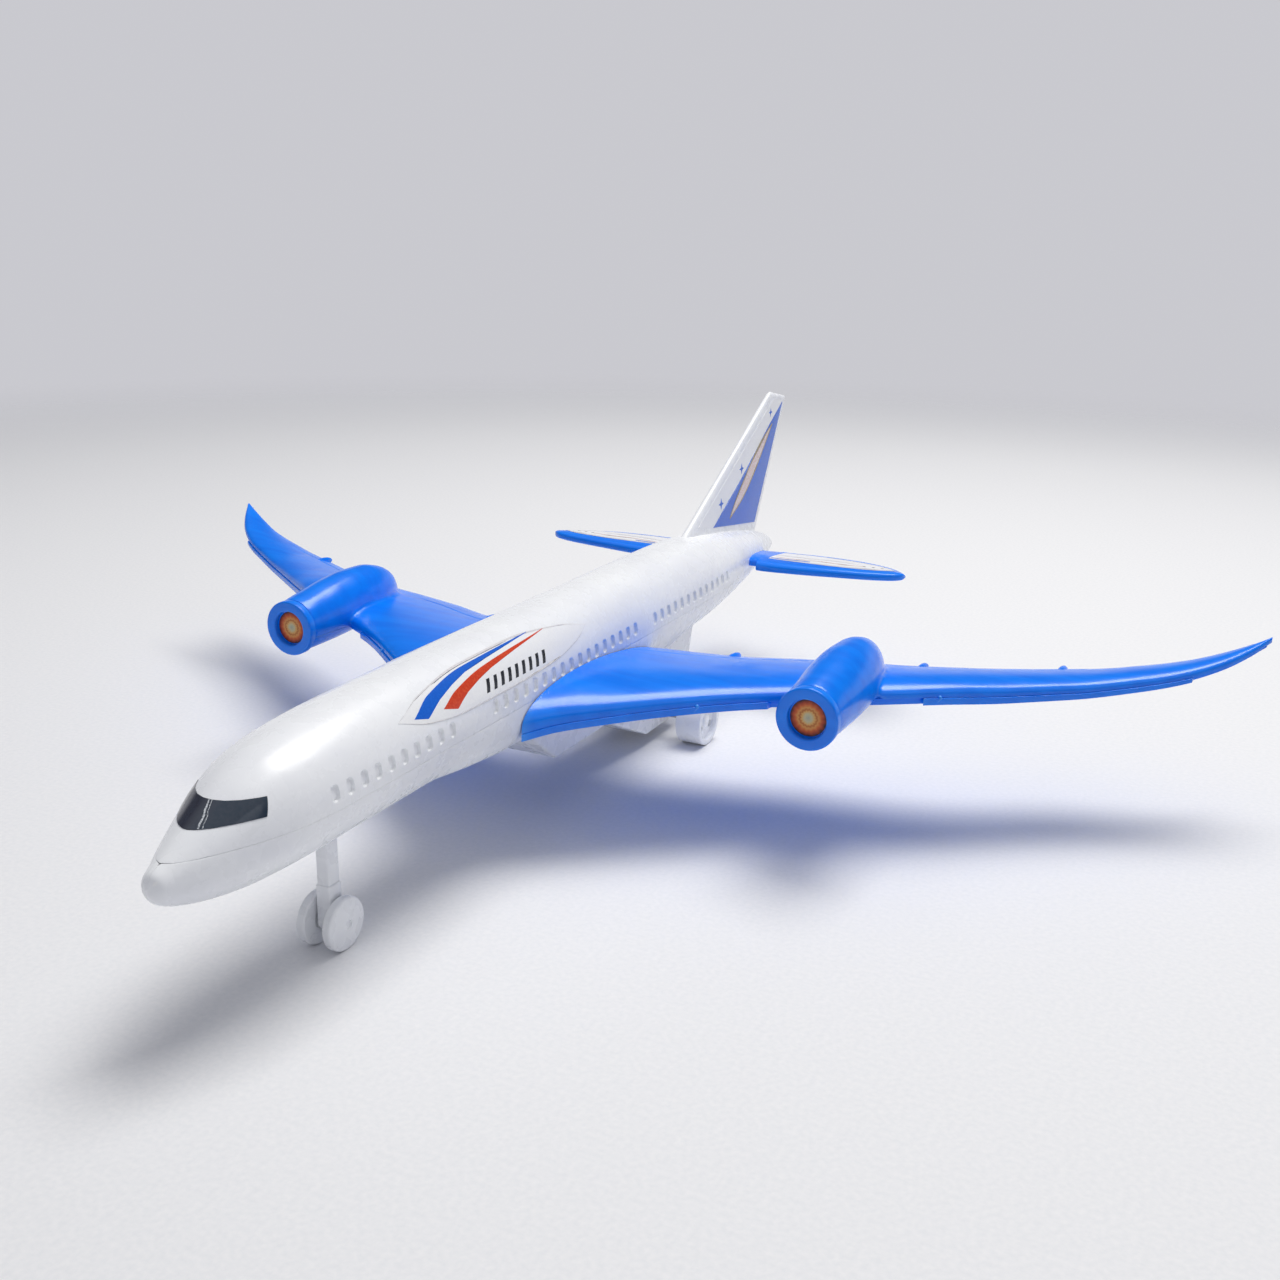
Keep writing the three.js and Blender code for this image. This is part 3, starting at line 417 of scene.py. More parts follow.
def bar(place: tuple, axis: str, ends: tuple[float, float], radius: float, chamfer: float = 0.0,
        sides: int = 40) -> bpy.types.Object:
    """Makes a round bar, or the tool that drills its hole.

    Args:
        place: a point of its axis.
        axis: X, Y or Z.
        ends: where it starts and ends along the axis, from place.
        radius: its radius.
        chamfer: how far its end edges are broken.
        sides: how many sides it has.

    Returns:
        The bar.
    """
    low, high = ends
    if chamfer:
        profile = [(0, low), (radius - chamfer, low), (radius, low + chamfer), (radius, high - chamfer),
                   (radius - chamfer, high), (0, high)]
    else:
        profile = [(0, low), (radius, low), (radius, high), (0, high)]
    return Shape().turned(profile, place, axis, sides).piece("bar")


# ---------------------------------------------------------------- finishes


def add_node(tree: bpy.types.NodeTree, kind: str, inputs: dict[Union[str, int], Value] | None = None,
             stops: Sequence[tuple[float, str]] = (), **settings: object) -> bpy.types.Node:
    """Adds a node with its settings and links.

    Args:
        tree: the material's tree.
        kind: the node's type.
        inputs: for each input socket, a value or the output socket that feeds it.
        stops: a colour ramp's places and colours.
        settings: the node's own properties.

    Returns:
        The node.
    """
    node = tree.nodes.new(kind)
    for key, value in settings.items():
        setattr(node, key, value)
    for key, value in (inputs or {}).items():
        if isinstance(value, bpy.types.NodeSocket):
            tree.links.new(value, node.inputs[key])
        else:
            node.inputs[key].default_value = value
    for i, (place, colour) in enumerate(stops):
        ramp = node.color_ramp.elements
        stop = ramp[i] if i < len(ramp) else ramp.new(place)
        stop.position, stop.color = place, linear(colour)
    return node


class Finish:
    """A surface that knows how to make its material once."""

    made: dict = {}

    def material(self) -> bpy.types.Material:
        """The finish's material, made the first time that it is asked for."""
        if self.name not in Finish.made:
            material = bpy.data.materials.new(self.name)
            material.use_nodes = True
            material.node_tree.nodes.clear()
            tree = material.node_tree
            place = add_node(tree, "ShaderNodeTexCoord").outputs["Object"]
            shader = self.surface(tree, place)
            add_node(tree, "ShaderNodeOutputMaterial", {"Surface": shader.outputs[0]})
            Finish.made[self.name] = material
        return Finish.made[self.name]

    def surface(self, tree: bpy.types.NodeTree, place: bpy.types.NodeSocket) -> bpy.types.Node:
        """Builds the nodes of the surface.

        Args:
            tree: the material's tree.
            place: the piece's own coordinates.

        Returns:
            The shader node.
        """
        raise NotImplementedError


@dataclass(frozen=True)
class MouldedPlastic(Finish):
    """Glossy plastic, injection moulded in a polished tool.

    The tool's polish gives sharp highlights, cooling gives them a slow ripple, and the melt's flow leaves faint
    streaks of shade along the moulding. Outer edges are lighter, partly from handling wear, partly a painted
    highlight.
    """

    name: str
    colour: str
    flow_colour: str
    whitening_and_highlight_colour: str
    roughness: float
    streak: tuple[float, float, float]
    ripple: float
    ripple_height: float
    scatter: float
    ior: float = 1.49

    def surface(self, tree: bpy.types.NodeTree, place: bpy.types.NodeSocket) -> bpy.types.Node:
        """Builds flow streaks, edges lighter from wear and a painted highlight, ripple and fine scuffs.

        Args:
            tree: the material's tree.
            place: the piece's own coordinates.

        Returns:
            The shader node.
        """
        stretch = tuple(1 / (s * MM) for s in self.streak)
        flow_place = add_node(tree, "ShaderNodeMapping", {"Vector": place, "Scale": stretch})
        flow = add_node(tree, "ShaderNodeTexNoise", {"Vector": flow_place.outputs[0], "Scale": 1.0, "Detail": 3.0})
        tint = add_node(tree, "ShaderNodeValToRGB", {0: flow.outputs["Fac"]},
                        [(0.35, self.flow_colour), (0.62, self.colour)])
        # painted highlight: convex edges, picked out by pointiness, are mixed towards a lighter colour, partly wear
        # whitening and partly a painted highlight along the edge
        point = add_node(tree, "ShaderNodeNewGeometry").outputs["Pointiness"]
        edge = add_node(tree, "ShaderNodeMapRange", {"Value": point, "From Min": 0.53, "From Max": 0.62})
        whitening_and_highlight = add_node(tree, "ShaderNodeMix", {"Factor": edge.outputs[0], 6: tint.outputs[0],
                                                  7: linear(self.whitening_and_highlight_colour)}, data_type="RGBA")
        # handling scuffs, about 5 mm patches that dull the gloss a little
        scuff = add_node(tree, "ShaderNodeTexNoise", {"Vector": place, "Scale": 1 / (5 * MM), "Detail": 6.0})
        dull = add_node(tree, "ShaderNodeMapRange", {"Value": scuff.outputs["Fac"], "From Min": 0.3,
                                                     "From Max": 0.75, "To Min": self.roughness * 0.85,
                                                     "To Max": self.roughness * 1.35})
        wave = add_node(tree, "ShaderNodeTexNoise", {"Vector": place, "Scale": 1 / (self.ripple * MM),
                                                     "Detail": 1.5})
        # grain of the steel tool, really under 0.1 mm and drawn at 0.5 mm so that it shows
        grain = add_node(tree, "ShaderNodeTexNoise", {"Vector": place, "Scale": 1 / (0.5 * MM), "Detail": 2.0})
        slow = add_node(tree, "ShaderNodeBump", {"Height": wave.outputs["Fac"], "Strength": 0.6,
                                                 "Distance": self.ripple_height * MM})
        fine = add_node(tree, "ShaderNodeBump", {"Height": grain.outputs["Fac"], "Strength": 0.12,
                                                 "Distance": 0.006 * MM, "Normal": slow.outputs[0]})
        return add_node(tree, "ShaderNodeBsdfPrincipled", {
            "Base Color": whitening_and_highlight.outputs[2], "Roughness": dull.outputs[0], "Normal": fine.outputs[0],
            "IOR": self.ior, "Subsurface Weight": self.scatter, "Subsurface Radius": (1.0, 1.0, 1.0),
            "Subsurface Scale": 0.8 * MM})


@dataclass(frozen=True)
class PrintedFilm(Finish):
    """Ink or bare face of a self-adhesive polypropylene label.

    The film's calendered face is smoother than the moulding under it, and the ink's solid areas keep a fine
    mottle from the screen.
    """

    name: str
    colour: str
    mottle_colour: str
    roughness: float = 0.22
    screen: float = 0.7

    def surface(self, tree: bpy.types.NodeTree, place: bpy.types.NodeSocket) -> bpy.types.Node:
        """Builds the ink's mottle and the film's slight waviness.

        Args:
            tree: the material's tree.
            place: the piece's own coordinates.

        Returns:
            The shader node.
        """
        mottle = add_node(tree, "ShaderNodeTexNoise", {"Vector": place, "Scale": 1 / (self.screen * MM),
                                                       "Detail": 3.0})
        ink = add_node(tree, "ShaderNodeValToRGB", {0: mottle.outputs["Fac"]},
                       [(0.36, self.mottle_colour), (0.58, self.colour)])
        # trapped air lifts the film by a few hundredths of a millimetre over 6 mm
        lift = add_node(tree, "ShaderNodeTexNoise", {"Vector": place, "Scale": 1 / (6 * MM), "Detail": 1.0})
        bump = add_node(tree, "ShaderNodeBump", {"Height": lift.outputs["Fac"], "Strength": 0.5,
                                                 "Distance": 0.05 * MM})
        sheen = add_node(tree, "ShaderNodeMapRange", {"Value": mottle.outputs["Fac"],
                                                      "To Min": self.roughness * 0.8,
                                                      "To Max": self.roughness * 1.3})
        return add_node(tree, "ShaderNodeBsdfPrincipled", {
            "Base Color": ink.outputs[0], "Roughness": sheen.outputs[0], "Normal": bump.outputs[0], "IOR": 1.49})


@dataclass(frozen=True)
class GlossVinyl(Finish):
    """Black vinyl film with a laminated gloss face, for the flight-deck windows.

    The lamination mirrors the studio, and the film shifts from a plum black to a teal black across the nose.
    """

    name: str
    starboard: str
    port: str
    half_width: float = 14.0

    def surface(self, tree: bpy.types.NodeTree, place: bpy.types.NodeSocket) -> bpy.types.Node:
        """Builds the two blacks, the orange peel of the lamination and its gloss.

        Args:
            tree: the material's tree.
            place: the piece's own coordinates.

        Returns:
            The shader node.
        """
        split = add_node(tree, "ShaderNodeSeparateXYZ", {0: place})
        reach = self.half_width * MM
        shift = add_node(tree, "ShaderNodeMapRange", {"Value": split.outputs["X"], "From Min": -reach * 0.4,
                                                      "From Max": reach * 0.6})
        base = add_node(tree, "ShaderNodeValToRGB", {0: shift.outputs[0]},
                        [(0.3, self.starboard), (0.7, self.port)])
        # orange peel of the lamination, about 1.2 mm
        peel = add_node(tree, "ShaderNodeTexNoise", {"Vector": place, "Scale": 1 / (1.2 * MM), "Detail": 2.0})
        mixed = add_node(tree, "ShaderNodeMix", {"Factor": peel.outputs["Fac"], 6: base.outputs[0],
                                                 7: linear("#343b49")}, data_type="RGBA")
        bump = add_node(tree, "ShaderNodeBump", {"Height": peel.outputs["Fac"], "Strength": 0.35,
                                                 "Distance": 0.03 * MM})
        return add_node(tree, "ShaderNodeBsdfPrincipled", {
            "Base Color": mixed.outputs[2], "Roughness": 0.16, "Normal": bump.outputs[0], "IOR": 1.5,
            "Coat Weight": 0.4, "Coat Roughness": 0.08})


@dataclass(frozen=True)
class EngineLabel(Finish):
    """Round paper label printed with a jet engine's glow.

    Rings of cream, gold, orange and a dark rim run into each other, broken by faint radial blades, and the
    uncoated paper stays dull.
    """

    name: str
    centre: tuple[float, float, float]
    radius: float
    blades: int = 16

    def surface(self, tree: bpy.types.NodeTree, place: bpy.types.NodeSocket) -> bpy.types.Node:
        """Builds the rings, the blades and the paper's fibre.

        Args:
            tree: the material's tree.
            place: the piece's own coordinates.

        Returns:
            The shader node.
        """
        split = add_node(tree, "ShaderNodeSeparateXYZ", {0: place})
        # both engines share the label, so X is measured from the middle of either
        across = add_node(tree, "ShaderNodeMath", {0: split.outputs["X"]}, operation="ABSOLUTE")
        dx = add_node(tree, "ShaderNodeMath", {0: across.outputs[0], 1: self.centre[0] * MM}, operation="SUBTRACT")
        dz = add_node(tree, "ShaderNodeMath", {0: split.outputs["Z"], 1: self.centre[2] * MM},
                      operation="SUBTRACT")
        flat = add_node(tree, "ShaderNodeCombineXYZ", {0: dx.outputs[0], 1: dz.outputs[0]})
        away = add_node(tree, "ShaderNodeVectorMath", {0: flat.outputs[0]}, operation="LENGTH")
        turn = add_node(tree, "ShaderNodeMath", {0: dz.outputs[0], 1: dx.outputs[0]}, operation="ARCTAN2")
        spin = add_node(tree, "ShaderNodeMath", {0: turn.outputs[0], 1: float(self.blades)}, operation="MULTIPLY")
        blade = add_node(tree, "ShaderNodeMath", {0: spin.outputs[0]}, operation="SINE")
        bleed = add_node(tree, "ShaderNodeTexNoise", {"Vector": place, "Scale": 1 / (1.4 * MM), "Detail": 4.0})
        wobble = add_node(tree, "ShaderNodeMath", {0: bleed.outputs["Fac"], 1: 0.16, 2: -0.08},
                          operation="MULTIPLY_ADD")
        ray = add_node(tree, "ShaderNodeMath", {0: blade.outputs[0], 1: 0.022, 2: wobble.outputs[0]},
                       operation="MULTIPLY_ADD")
        share = add_node(tree, "ShaderNodeMath", {0: away.outputs["Value"], 1: 1 / (self.radius * MM),
                                                  2: ray.outputs[0]}, operation="MULTIPLY_ADD")
        rings = add_node(tree, "ShaderNodeValToRGB", {0: share.outputs[0]}, [
            (0.0, "#a9ab9c"), (0.2, "#c6bd98"), (0.36, "#dba85c"), (0.46, "#b7602a"), (0.56, "#d99a50"),
            (0.7, "#d0632c"), (0.86, "#a8391d"), (0.97, "#3d2a24")])
        fibre = add_node(tree, "ShaderNodeTexNoise", {"Vector": place, "Scale": 1 / (0.35 * MM), "Detail": 5.0})
        bump = add_node(tree, "ShaderNodeBump", {"Height": fibre.outputs["Fac"], "Strength": 0.3,
                                                 "Distance": 0.02 * MM})
        return add_node(tree, "ShaderNodeBsdfPrincipled", {
            "Base Color": rings.outputs[0], "Roughness": 0.5, "Normal": bump.outputs[0], "IOR": 1.48})


@dataclass(frozen=True)
class WorkedMetal(Finish):
    """Bare metal with the marks of the tool that shaped it.

    Drawing or turning leaves fine lines, which spread the highlight across them.
    """

    name: str
    colour: str
    mark_colour: str
    roughness: float
    grain: tuple[float, float, float]

    def surface(self, tree: bpy.types.NodeTree, place: bpy.types.NodeSocket) -> bpy.types.Node:
        """Builds the tool lines in colour, gloss and relief.

        Args:
            tree: the material's tree.
            place: the piece's own coordinates.

        Returns:
            The shader node.
        """
        stretch = tuple(1 / (g * MM) for g in self.grain)
        lines_at = add_node(tree, "ShaderNodeMapping", {"Vector": place, "Scale": stretch})
        lines = add_node(tree, "ShaderNodeTexNoise", {"Vector": lines_at.outputs[0], "Scale": 1.0, "Detail": 4.0})
        tone = add_node(tree, "ShaderNodeValToRGB", {0: lines.outputs["Fac"]},
                        [(0.3, self.mark_colour), (0.7, self.colour)])
        gloss = add_node(tree, "ShaderNodeMapRange", {"Value": lines.outputs["Fac"],
                                                      "To Min": self.roughness * 0.7,
                                                      "To Max": self.roughness * 1.4})
        bump = add_node(tree, "ShaderNodeBump", {"Height": lines.outputs["Fac"], "Strength": 0.4,
                                                 "Distance": 0.02 * MM})
        return add_node(tree, "ShaderNodeBsdfPrincipled", {
            "Base Color": tone.outputs[0], "Metallic": 1.0, "Roughness": gloss.outputs[0],
            "Normal": bump.outputs[0]})


@dataclass(frozen=True)
class SeamlessPaper(Finish):
    """Matt white background paper, rolled out under the airliner.

    It fades out far from the airliner, so that it meets the studio wall without a line.
    """

    name: str
    colour: str
    fleck_colour: str
    solid: float
    gone: float

    def surface(self, tree: bpy.types.NodeTree, place: bpy.types.NodeSocket) -> bpy.types.Node:
        """Builds the paper's tooth, its tone and the fade.

        Args:
            tree: the material's tree.
            place: the piece's own coordinates.

        Returns:
            The shader node.
        """
        # paper tooth, really about 0.2 mm and drawn at 1.5 mm so that it shows
        tooth = add_node(tree, "ShaderNodeTexNoise", {"Vector": place, "Scale": 1 / (1.5 * MM), "Detail": 4.0})
        tone = add_node(tree, "ShaderNodeValToRGB", {0: tooth.outputs["Fac"]},
                        [(0.3, self.fleck_colour), (0.7, self.colour)])
        bump = add_node(tree, "ShaderNodeBump", {"Height": tooth.outputs["Fac"], "Strength": 0.15,
                                                 "Distance": 0.2 * MM})
        paper = add_node(tree, "ShaderNodeBsdfPrincipled", {
            "Base Color": tone.outputs[0], "Roughness": 0.7, "Normal": bump.outputs[0]})
        away = add_node(tree, "ShaderNodeVectorMath", {0: place}, operation="LENGTH")
        fade = add_node(tree, "ShaderNodeMapRange", {"Value": away.outputs["Value"], "From Min": self.solid,
                                                     "From Max": self.gone}, interpolation_type="SMOOTHSTEP")
        clear = add_node(tree, "ShaderNodeBsdfTransparent")
        return add_node(tree, "ShaderNodeMixShader", {0: fade.outputs[0], 1: paper.outputs[0],
                                                      2: clear.outputs[0]})


# each moulding's third colour lightens its convex edges: partly wear whitening, partly a painted highlight
# high-impact polystyrene: clean white with cool shade in the flow lines
WHITE = MouldedPlastic("white_polystyrene_moulded", "#f4f6f9", "#eef0f5", "#fbfcfd", 0.26, (30, 30, 12), 9.0,
                       0.04, 0.0)
# coloured polypropylene: deep clear blue whose flow lines run out along the wing
BLUE = MouldedPlastic("blue_polypropylene_moulded", "#0082ff", "#0078f6", "#3f9cff", 0.2, (60, 5, 5), 9.0,
                      0.04, 0.0)
# natural acetal: milky and slightly waxy, for the gears and the motor's plates
ACETAL = MouldedPlastic("natural_acetal_moulded", "#dadcd8", "#cdd0cc", "#e8e9e6", 0.45, (8, 8, 8), 4.0, 0.02, 0.1)
CLEAR_FACE = PrintedFilm("clear_label_film", "#f4f5f7", "#f0f1f4", 0.18)
FILM_EDGE = PrintedFilm("label_film_cut_edge", "#dddcde", "#d0ced2", 0.3)
BLUE_INK = PrintedFilm("blue_ink_on_film", "#1560cf", "#1c68d6")
RED_INK = PrintedFilm("red_ink_on_film", "#cf3f24", "#d9502f")
BLACK_INK = PrintedFilm("black_ink_on_film", "#23262c", "#31353d")
PALE_INK = PrintedFilm("pale_ink_on_film", "#e6d9dc", "#d9b7a8")
GOLD_INK = PrintedFilm("gold_ink_on_film", "#9b8a63", "#b5a172")
# painted highlight: the pale grey on the fold stands for the light that the crease in the black film catches
FOLD_HIGHLIGHT = PrintedFilm("vinyl_fold_painted_highlight", "#d5d9de", "#6d7480", 0.18, 0.5)
VINYL = GlossVinyl("black_gloss_vinyl", "#2c2a36", "#0d2a3c")
STEEL = WorkedMetal("drawn_steel_rod", "#b9bcc0", "#8d9196", 0.28, (4, 0.15, 0.15))
SCREW_STEEL = WorkedMetal("zinc_plated_steel", "#c3c6c8", "#9a9fa3", 0.32, (0.4, 0.4, 2))
FLYWHEEL_STEEL = WorkedMetal("turned_steel", "#a8abaf", "#7f8388", 0.3, (0.3, 1.2, 1.2))
BRASS = WorkedMetal("machined_brass", "#d8b465", "#b08a3f", 0.3, (0.2, 0.8, 0.8))
PAPER = SeamlessPaper("white_background_paper", "#ededef", "#e6e7ea", 0.72, 1.3)


def finish_piece(made: bpy.types.Object, finishes: Sequence[Finish], body: Body, slot: str, *nodes: str) -> None:
    """Dresses a piece, puts it on its body and reports it.

    Args:
        made: the piece.
        finishes: the finish of each of its material slots.
        body: the CAD body that it rides on.
        slot: the record's material slot; not used.
        nodes: the CAD nodes that it stands for.
    """
    for one in finishes:
        made.data.materials.append(one.material())
    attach(made, body.value)
    if nodes:
        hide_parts(*nodes)
    LOG.info("%s on %s, %d faces", made.name, body.value, len(made.data.polygons))


# ---------------------------------------------------------------- fuselage


@dataclass
class Fuselage:
    """The two white fuselage shells, the flight-deck film and the side films."""

    # y, top, bottom, half width, squareness of the lower half (2 is an ellipse)
    stations: tuple = (
        (-197.0, 44.1, 44.1, 0.0, 2),
        (-196.9, 45.6, 42.6, 1.2, 2),
        (-196.2, 47.4, 40.9, 3.0, 2),
        (-192.4, 49.7, 38.4, 5.2, 2),
        (-186.1, 53.4, 36.4, 8.2, 2),
        (-178.0, 58.0, 34.9, 11.4, 2),
        (-169.0, 62.9, 34.2, 14.5, 2),
        (-159.1, 66.4, 34.2, 16.8, 2),
        (-147.4, 68.4, 34.3, 17.8, 2),
        (-130.0, 69.6, 34.4, 18.0, 2),
        (-100.0, 70.2, 34.4, 18.0, 2),
        (-82.0, 70.4, 34.4, 18.0, 3),
        (-62.0, 70.4, 34.4, 18.0, 4),
        (34.0, 70.4, 34.4, 18.0, 4),
        (62.0, 70.4, 34.4, 18.0, 2.4),
        (80.0, 70.2, 34.7, 17.7, 2),
        (95.6, 69.3, 35.6, 16.9, 2),
        (122.6, 66.1, 38.7, 14.2, 2),
        (145.1, 62.4, 42.2, 11.3, 2),
        (161.3, 59.0, 44.6, 8.4, 2),
        (176.6, 54.6, 46.6, 4.8, 2),
        (184.4, 50.4, 47.8, 1.4, 2),
    )
    seam: float = 49.5
    seam_gap: float = 0.05
    lip_round: float = 0.05
    wall: float = 1.5
    window_rows: tuple = ((-150.7, 10), (-77.1, 17), (29.5, 13))
    window_pitch: float = 5.69
    window_half: tuple[float, float] = (1.3, 2.1)
    window_corner: float = 1.2
    window_z: float = 54.3
    window_depth: float = 0.8
    full_height: float = 16.5
    screw_y: tuple[float, float] = (-112.0, 104.0)
    nose_leg_y: float = -134.5

    def at(self, y: np.ndarray) -> np.ndarray:
        """The section at y.

        Args:
            y: where, in any shape.

        Returns:
            Middle height, half height, half width and squareness, in a last axis of 4.
        """
        table = np.array(self.stations, float)
        nose = table[0, 0]
        # counted from the nose by square root, the blunt tip comes out round
        table[:, 0] = np.sqrt(table[:, 0] - nose)
        flat = np.sqrt(np.maximum(np.ravel(y) - nose, 0))
        top, bottom, half, square = monotone(table, flat).T
        found = np.column_stack([(top + bottom) / 2, (top - bottom) / 2, half, square])
        return found.reshape(*np.shape(y), 4)

    def angle(self, y: np.ndarray, z: np.ndarray, lift: Union[float, np.ndarray] = 0.0) -> np.ndarray:
        """The angle from the top at which the skin has a height.

        Args:
            y: where along the fuselage.
            z: the height.
            lift: how far off the skin.

        Returns:
            The angles in radians, 0 where the skin doesn't reach that high.
        """
        middle, height, _, square = np.moveaxis(self.at(y), -1, 0)
        share = np.clip((z - middle) / np.maximum(height + lift, 1e-6), -1, 1)
        return np.where(share >= 0, np.arccos(np.abs(share)), math.pi - np.arccos(np.abs(share) ** (square / 2)))

    def skin(self, y: np.ndarray, angle: np.ndarray, lift: Union[float, np.ndarray] = 0.0) -> np.ndarray:
        """Points of the skin.

        Args:
            y: where along the fuselage.
            angle: the angle from the top, positive to port.
            lift: how far off the skin.

        Returns:
            The points, with a last axis of 3.
        """
        middle, height, half, square = np.moveaxis(self.at(y), -1, 0)
        sine, cosine = np.sin(angle), np.cos(angle)
        power = np.where(cosine < 0, 2 / square, 1)
        x = np.sign(sine) * np.abs(sine) ** power * (half + lift)
        z = middle + np.sign(cosine) * np.abs(cosine) ** power * (height + lift)
        return np.stack(np.broadcast_arrays(x, y, z), axis=-1)

    def side(self, y: np.ndarray, z: np.ndarray, lift: float) -> np.ndarray:
        """Points of the port skin at a height.

        Args:
            y: where along the fuselage.
            z: the height of the point on the skin itself.
            lift: how far off the skin.

        Returns:
            The points, with a last axis of 3.
        """
        return self.skin(y, self.angle(y, z), lift)

    def recess(self, y: np.ndarray, z: np.ndarray) -> np.ndarray:
        """How deep the moulded windows are at a place.

        Args:
            y: where along the fuselage.
            z: the height.

        Returns:
            The depth under the skin.
        """
        depth = np.zeros(np.broadcast(y, z).shape)
        for first, count in self.window_rows:
            nearest = np.clip(np.round((y - first) / self.window_pitch), 0, count - 1)
            across = np.abs(y - first - nearest * self.window_pitch) - self.window_half[0] + self.window_corner
            up = np.abs(z - self.window_z) - self.window_half[1] + self.window_corner
            outside = np.hypot(np.maximum(across, 0), np.maximum(up, 0)) + np.minimum(np.maximum(across, up), 0)
            edge = outside - self.window_corner
            depth = np.maximum(depth, self.window_depth * smoothstep(0.14, -0.3, edge))
        return depth

    def lengthwise(self) -> np.ndarray:
        """The stations of the upper shell, close together where a window needs them."""
        tip = self.stations[0][0]
        run = np.linspace(tip, -180, 400)
        section = self.at(run)
        start = np.interp(self.seam, section[:, 0] + section[:, 1], run)
        nose = tip + np.linspace(math.sqrt(start - tip), 6.55, 30) ** 2
        steps = np.array([-2.25, -1.62, -1.42, -1.24, -1.04, -0.78, -0.4, 0, 0.4, 0.78, 1.04, 1.24, 1.42, 1.62, 2.25])
        rows = [first + i * self.window_pitch + steps for first, count in self.window_rows for i in range(count)]
        between = [np.linspace(-96, -81, 5), np.linspace(17, 26, 4), np.linspace(101, 184.4, 34)]
        return np.unique(np.round(np.concatenate([nose, *rows, *between]), 4))

    def upper_shell(self) -> bpy.types.Object:
        """Builds the upper shell with its recessed windows.

        Returns:
            The piece.
        """
        y = self.lengthwise()
        half_window = self.window_half[1]
        ladder = np.array([-0.3, -0.12, 0.06, 0.3, 0.62, 1.0, 1.45, 1.9, 2.3]) - half_window
        ladder = np.concatenate([ladder, -ladder[::-1]]) + self.window_z - self.seam
        levels = np.concatenate([[0, 0.06, 0.2, 0.7, 1.5], ladder, [8.2]])
        section = self.at(y)
        top = section[:, 0] + section[:, 1]
        squeeze = np.clip((top - self.seam) / self.full_height, 0.02, 1)
        heights = self.seam + squeeze[:, None] * levels
        port = self.angle(y[:, None], heights)
        crown = port[:, -1:] * np.linspace(1, 0, 15)[1:]
        port = np.hstack([port, crown])
        angles = np.hstack([port, -port[:, -2::-1]])
        place = self.skin(y[:, None], angles)
        above = place[..., 2] - self.seam
        lift = -self.recess(y[:, None], place[..., 2]) - self.lip_round * smoothstep(0.2, 0, above / squeeze[:, None])
        outer = self.skin(y[:, None], angles, lift)
        inner = self.inside(y, self.angle(y[:, None], self.seam, -self.thickness(y))[:, 0], 1)
        return Shape().loft(np.concatenate([outer, inner], axis=1)).piece("fuselage_upper", 40)

    def thickness(self, y: np.ndarray) -> np.ndarray:
        """The wall at each station, (n, 1); the pointed ends are solid."""
        section = self.at(y)
        return np.minimum(self.wall, 0.9 * np.minimum(section[:, 1], section[:, 2]))[:, None]

    def inside(self, y: np.ndarray, seam_angle: np.ndarray, up: int) -> np.ndarray:
        """The inner face of a shell.

        Args:
            y: the shell's stations.
            seam_angle: the angle of the seam on the inner face, at each station.
            up: 1 for the upper shell, -1 for the lower.

        Returns:
            The points from starboard to port, (stations, 13, 3).
        """
        share = np.linspace(-1, 1, 13)
        if up > 0:
            angles = seam_angle[:, None] * share
        else:
            angles = math.pi + (math.pi - seam_angle[:, None]) * share[::-1] * -1
        points = self.skin(y[:, None], angles, -self.thickness(y))
        limit = self.seam if up > 0 else self.seam - self.seam_gap
        clamp = np.maximum if up > 0 else np.minimum
        points[..., 2] = clamp(points[..., 2], limit)
        return points

    def lower_shell(self) -> bpy.types.Object:
        """Builds the lower shell, with the screws' counterbores and the slot of the nose leg.

        Returns:
            The piece.
        """
        nose = self.stations[0][0] + np.linspace(0.06, 6.5, 40) ** 2
        y = np.unique(np.concatenate([nose, np.linspace(-154, 184.4, 110)]))
        edge = self.seam - self.seam_gap
        start = self.angle(y, np.full_like(y, edge))
        share = np.sort(np.concatenate([np.linspace(0, 1, 65), [0.004, 0.012, 0.988, 0.996]]))
        angles = start[:, None] + (2 * math.pi - 2 * start[:, None]) * share
        place = self.skin(y[:, None], angles)
        lift = -self.lip_round * smoothstep(0.2, 0, edge - place[..., 2])
        lift = np.where(start[:, None] < 0.05, 0, lift)
        outer = self.skin(y[:, None], angles, lift)
        inner_seam = self.angle(y[:, None], edge, -self.thickness(y))[:, 0]
        inner = self.inside(y, inner_seam, -1)
        made = Shape().loft(np.concatenate([outer, inner], axis=1)).piece("fuselage_lower", 40)
        for screw_y in self.screw_y:
            made = combine(made, bar((0, screw_y, 0), "Z", (30, 60), 2.7, sides=48), Cut.REMOVE, 40)
        slot = block((-2.6, self.nose_leg_y - 3.2, 28), (2.6, self.nose_leg_y + 3.2, 42), 0.5)
        return combine(made, slot, Cut.REMOVE, 40)

    def screw_wells(self) -> bpy.types.Object:
        """Builds the bosses that close the counterbores behind the screws.

        Returns:
            The piece.
        """
        shape = Shape()
        for y in self.screw_y:
            section = self.at(np.array([y]))[0]
            floor = section[0] - section[1]
            profile = [(2.72, floor + 0.9), (3.4, floor + 0.9), (3.4, 44), (1.6, 44), (1.6, floor + 2.6),
                       (2.72, floor + 2.6)]
            shape.turned(profile, (0, y, 0), "Z", 40)
        return shape.piece("shell_screw_bosses")

    def windscreen(self) -> bpy.types.Object:
        """Builds the flight-deck film, which wraps the nose, with a fold left by stretching it; the fold's ridges
        carry a painted highlight.

        Returns:
            The piece.
        """
        low_z, high_z = (54.4, 54.8), (59.0, 58.8)
        ends = (-170.4, -168.0)

